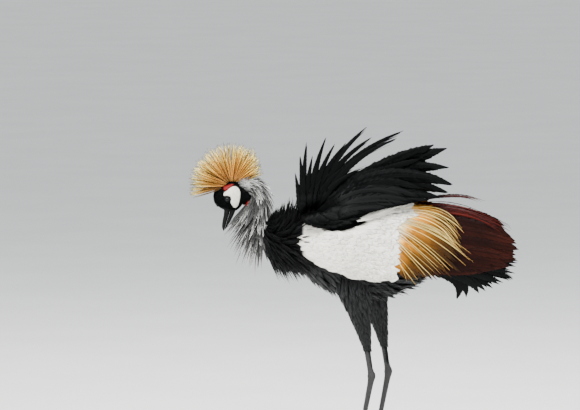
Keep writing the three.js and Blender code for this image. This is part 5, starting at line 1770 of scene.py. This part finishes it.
def scaled_leg(mesh, side):
    """Overlapping scutes down the front of the shank and along the toes, and flat soles."""
    points, normals = mesh_points(mesh), mesh_normals(mesh)
    x, y, z = points.T
    front = ease(-normals[:, 0], -0.1, 0.5) * ease(z, 14, 26)
    steps = (z / SCUTE_HEIGHT) % 1
    plate = (steps**1.6) * 0.75 * front
    around = np.sin(np.arctan2(normals[:, 1], -normals[:, 0]) * 7) * np.sin(z * 2 * pi / 4.4)
    plate += 0.22 * around * (1 - front) * ease(z, 14, 26)
    away = np.hypot(x - FOOT_X[side], y - side * FOOT_Y)
    top = ease(normals[:, 2], 0.0, 0.5) * (1 - ease(z, 12, 20)) * ease(away, 9, 14)
    plate += ((away / TOE_SCUTE) % 1) ** 1.6 * 0.6 * top
    points += normals * (plate - 0.25)[:, None]
    points[:, 2] = np.maximum(points[:, 2], 0)
    settle(mesh, points)


def scale_material(colours):
    s = Shading("Leg scales")
    place = s.place()
    cells = s.voronoi(place, 420.0, "DISTANCE_TO_EDGE")
    cloud = s.noise(place, 50.0)
    dust = s.noise(place, 400.0)
    base = s.ramp(cloud, [(0.3, darker(colours.scales, 0.6)), (0.7, darker(colours.scales, 1.5))])
    base = s.blend(s.between(cells, 0.12, 0.0), base, darker(colours.scales, 0.4))
    base = s.blend(s.between(dust, 0.55, 0.8), base, darker(colours.scales, 2.2))
    normal = s.bump(s.between(cells, 0.0, 0.25), 0.4, 0.0006)
    return s.finish(base, s.between(cloud, 0.3, 0.7, 0.5, 0.68), normal, specular=0.45)


def make_legs(colours):
    scales = scale_material(colours)
    horn = horn_material("Claw horn", colours.horn, 0.38, 400.0)
    for name, side in SIDES.items():
        mesh = melted(leg_forms(side), "leg_" + name, 1.0, 2)
        scaled_leg(mesh, side)
        piece("leg_" + name, mesh, scales, ["shank_" + name, "foot_" + name])
        claws = []
        for turn, length, thick in TOES:
            line = [toe_point(side, turn, length + past, height) for past, height, _ in CLAW_LINE]
            radii = [[thick * k] * 2 for _, _, k in CLAW_LINE]
            claws.append(tube_form(line, radii, 16, 24))
        mesh = gathered(claws, "claws_" + name)
        piece("claws_" + name, settle(mesh, mesh_points(mesh)), horn)


# Floor, light and camera.

PHOTO_SIZE = (580, 410)
MM_PER_PIXEL = 2.4
PHOTO_X0, PHOTO_Z0 = 355, 468  # the pixel of the construction's x = 0 and z = 0
CAMERA_DISTANCE = 14.0
CAMERA_ELEVATION = 5.0
NEAR_DEPTH = -45  # the depth in millimetres where the photo's scale is exact
FLOOR_HALF = 60  # metres
LIT_PLACE = (0, 0, 0.55)
# Disk lamps: name, place and diameter in metres, power in watts.
LAMPS = (
    ("key", (-1.0, -2.2, 3.8), 1.6, 340.0),
    ("fill", (2.6, -2.4, 1.6), 2.6, 30.0),
    ("top", (0.3, 1.4, 3.4), 2.0, 170.0),
)


def make_stage():
    scene = bpy.context.scene
    bm = bmesh.new()
    bmesh.ops.create_grid(bm, x_segments=2, y_segments=2, size=FLOOR_HALF)
    mesh = meshed(bm, "floor")
    s = Shading("Floor")
    mottle = s.between(s.noise(s.place(), 3.0), 0.3, 0.7)
    pale = s.blend(mottle, srgb(226, 226, 223), srgb(231, 231, 228))
    mesh.materials.append(s.finish(pale, 0.9, specular=0.2))
    floor = bpy.data.objects.new("floor", mesh)
    scene.collection.objects.link(floor)
    world = bpy.data.worlds.new("Studio")
    scene.world = world
    world.use_nodes = True
    sky = world.node_tree.nodes["Background"]
    sky.inputs["Color"].default_value = (0.92, 0.96, 1.0, 1)
    sky.inputs["Strength"].default_value = 1.0
    for name, place, size, power in LAMPS:
        light = bpy.data.lights.new(name, "AREA")
        light.shape = "DISK"
        light.size = size
        light.energy = power
        lamp = bpy.data.objects.new(name, light)
        lamp.location = place
        lamp.rotation_euler = (Vector(LIT_PLACE) - Vector(place)).to_track_quat("-Z", "Y").to_euler()
        scene.collection.objects.link(lamp)
    width = PHOTO_SIZE[0] * MM_PER_PIXEL
    middle_x = (PHOTO_SIZE[0] / 2 - PHOTO_X0) * MM_PER_PIXEL
    middle_z = (PHOTO_Z0 - PHOTO_SIZE[1] / 2) * MM_PER_PIXEL
    target = Vector(placed((middle_x, NEAR_DEPTH, middle_z)))
    tilt = radians(CAMERA_ELEVATION)
    camera = bpy.data.cameras.new("camera")
    camera.sensor_width = 36
    camera.lens = camera.sensor_width * CAMERA_DISTANCE / (width * MM)
    camera.clip_end = 200
    view = bpy.data.objects.new("camera", camera)
    view.location = target + Vector((0, -cos(tilt), sin(tilt))) * CAMERA_DISTANCE
    view.rotation_euler = (pi / 2 - tilt, 0, 0)
    scene.collection.objects.link(view)
    scene.camera = view


# Operators, one for each piece or group of like pieces.


class CRANE_OT_stage(bpy.types.Operator):
    """Floor, lights and camera"""

    bl_idname = "crane.stage"
    bl_label = "Stage"
    bl_options = {"REGISTER", "UNDO"}

    def execute(self, context):
        make_stage()
        return {"FINISHED"}


class CRANE_OT_skin(bpy.types.Operator):
    """One skin from the crown to the thighs"""

    bl_idname = "crane.skin"
    bl_label = "Skin"
    bl_options = {"REGISTER", "UNDO"}

    def execute(self, context):
        make_skin(context.scene.crane_sizes, context.scene.crane_colours)
        return {"FINISHED"}


class CRANE_OT_bill(bpy.types.Operator):
    """Both mandibles"""

    bl_idname = "crane.bill"
    bl_label = "Bill"
    bl_options = {"REGISTER", "UNDO"}

    def execute(self, context):
        make_bill(context.scene.crane_colours)
        return {"FINISHED"}


class CRANE_OT_eyes(bpy.types.Operator):
    """Eyeballs behind their lids"""

    bl_idname = "crane.eyes"
    bl_label = "Eyes"
    bl_options = {"REGISTER", "UNDO"}

    def execute(self, context):
        make_eyes()
        return {"FINISHED"}


class CRANE_OT_wattle(bpy.types.Operator):
    """Red skin under the chin"""

    bl_idname = "crane.wattle"
    bl_label = "Wattle"
    bl_options = {"REGISTER", "UNDO"}

    def execute(self, context):
        make_wattle(context.scene.crane_colours)
        return {"FINISHED"}


class CRANE_OT_velvet(bpy.types.Operator):
    """Short feathers of the head"""

    bl_idname = "crane.velvet"
    bl_label = "Velvet and nape"
    bl_options = {"REGISTER", "UNDO"}

    def execute(self, context):
        make_velvet(context.scene.crane_colours)
        return {"FINISHED"}


class CRANE_OT_crest(bpy.types.Operator):
    """A fan of stiff bristles"""

    bl_idname = "crane.crest"
    bl_label = "Crest"
    bl_options = {"REGISTER", "UNDO"}

    def execute(self, context):
        make_crest(context.scene.crane_sizes, context.scene.crane_colours)
        return {"FINISHED"}


class CRANE_OT_hackles(bpy.types.Operator):
    """Grey plumes of the neck"""

    bl_idname = "crane.hackles"
    bl_label = "Neck plumes"
    bl_options = {"REGISTER", "UNDO"}

    def execute(self, context):
        make_hackles(context.scene.crane_sizes, context.scene.crane_colours)
        return {"FINISHED"}


class CRANE_OT_ruff(bpy.types.Operator):
    """Black plumes of the neck's base"""

    bl_idname = "crane.ruff"
    bl_label = "Breast plumes"
    bl_options = {"REGISTER", "UNDO"}

    def execute(self, context):
        make_ruff(context.scene.crane_colours)
        return {"FINISHED"}


class CRANE_OT_mantle(bpy.types.Operator):
    """Raised plumes over the back"""

    bl_idname = "crane.mantle"
    bl_label = "Mantle"
    bl_options = {"REGISTER", "UNDO"}

    def execute(self, context):
        make_mantle(context.scene.crane_colours)
        return {"FINISHED"}


class CRANE_OT_scapulars(bpy.types.Operator):
    """Plumes over both wings"""

    bl_idname = "crane.scapulars"
    bl_label = "Scapulars"
    bl_options = {"REGISTER", "UNDO"}

    def execute(self, context):
        make_scapulars(context.scene.crane_colours)
        return {"FINISHED"}


class CRANE_OT_coverts(bpy.types.Operator):
    """Rows of white feathers"""

    bl_idname = "crane.coverts"
    bl_label = "White coverts"
    bl_options = {"REGISTER", "UNDO"}

    def execute(self, context):
        make_coverts(context.scene.crane_colours)
        return {"FINISHED"}


class CRANE_OT_gold(bpy.types.Operator):
    """Long gold feathers and threads"""

    bl_idname = "crane.gold"
    bl_label = "Gold coverts"
    bl_options = {"REGISTER", "UNDO"}

    def execute(self, context):
        make_gold(context.scene.crane_colours)
        return {"FINISHED"}


class CRANE_OT_flight(bpy.types.Operator):
    """Secondaries and primaries"""

    bl_idname = "crane.flight"
    bl_label = "Flight feathers"
    bl_options = {"REGISTER", "UNDO"}

    def execute(self, context):
        make_flight(context.scene.crane_colours)
        return {"FINISHED"}


class CRANE_OT_tail(bpy.types.Operator):
    """Twelve black feathers"""

    bl_idname = "crane.tail"
    bl_label = "Tail"
    bl_options = {"REGISTER", "UNDO"}

    def execute(self, context):
        make_tail(context.scene.crane_colours)
        return {"FINISHED"}


class CRANE_OT_body(bpy.types.Operator):
    """Contour feathers"""

    bl_idname = "crane.body"
    bl_label = "Body feathers"
    bl_options = {"REGISTER", "UNDO"}

    def execute(self, context):
        make_body_feathers(context.scene.crane_colours)
        return {"FINISHED"}


class CRANE_OT_thighs(bpy.types.Operator):
    """Feathers of the legs"""

    bl_idname = "crane.thighs"
    bl_label = "Thigh feathers"
    bl_options = {"REGISTER", "UNDO"}

    def execute(self, context):
        make_thigh_feathers(context.scene.crane_colours)
        return {"FINISHED"}


class CRANE_OT_legs(bpy.types.Operator):
    """Scaled legs, toes and claws"""

    bl_idname = "crane.legs"
    bl_label = "Legs"
    bl_options = {"REGISTER", "UNDO"}

    def execute(self, context):
        make_legs(context.scene.crane_colours)
        return {"FINISHED"}


# In the order that they are made in. The velvet is set on the finished skin.
OPERATORS = [
    CRANE_OT_stage, CRANE_OT_skin, CRANE_OT_bill, CRANE_OT_eyes, CRANE_OT_wattle, CRANE_OT_velvet,
    CRANE_OT_crest, CRANE_OT_hackles, CRANE_OT_ruff, CRANE_OT_mantle, CRANE_OT_scapulars,
    CRANE_OT_coverts, CRANE_OT_gold, CRANE_OT_flight, CRANE_OT_tail, CRANE_OT_body, CRANE_OT_thighs,
    CRANE_OT_legs,
]


class CRANE_PT_panel(bpy.types.Panel):
    bl_label = "Grey crowned crane"
    bl_space_type = "VIEW_3D"
    bl_region_type = "UI"
    bl_category = "Crane"

    def draw(self, context):
        for made in OPERATORS:
            self.layout.operator(made.bl_idname, text=made.bl_label)


CLASSES = [CraneSizes, CraneColours, *OPERATORS, CRANE_PT_panel]


def register():
    for made in CLASSES:
        bpy.utils.register_class(made)
    bpy.types.Scene.crane_sizes = bpy.props.PointerProperty(type=CraneSizes)
    bpy.types.Scene.crane_colours = bpy.props.PointerProperty(type=CraneColours)


def unregister():
    del bpy.types.Scene.crane_sizes
    del bpy.types.Scene.crane_colours
    for made in reversed(CLASSES):
        bpy.utils.unregister_class(made)


def main():
    register()
    for made in OPERATORS:
        group, name = made.bl_idname.split(".")
        getattr(getattr(bpy.ops, group), name)()


if __name__ == "__main__":
    main()
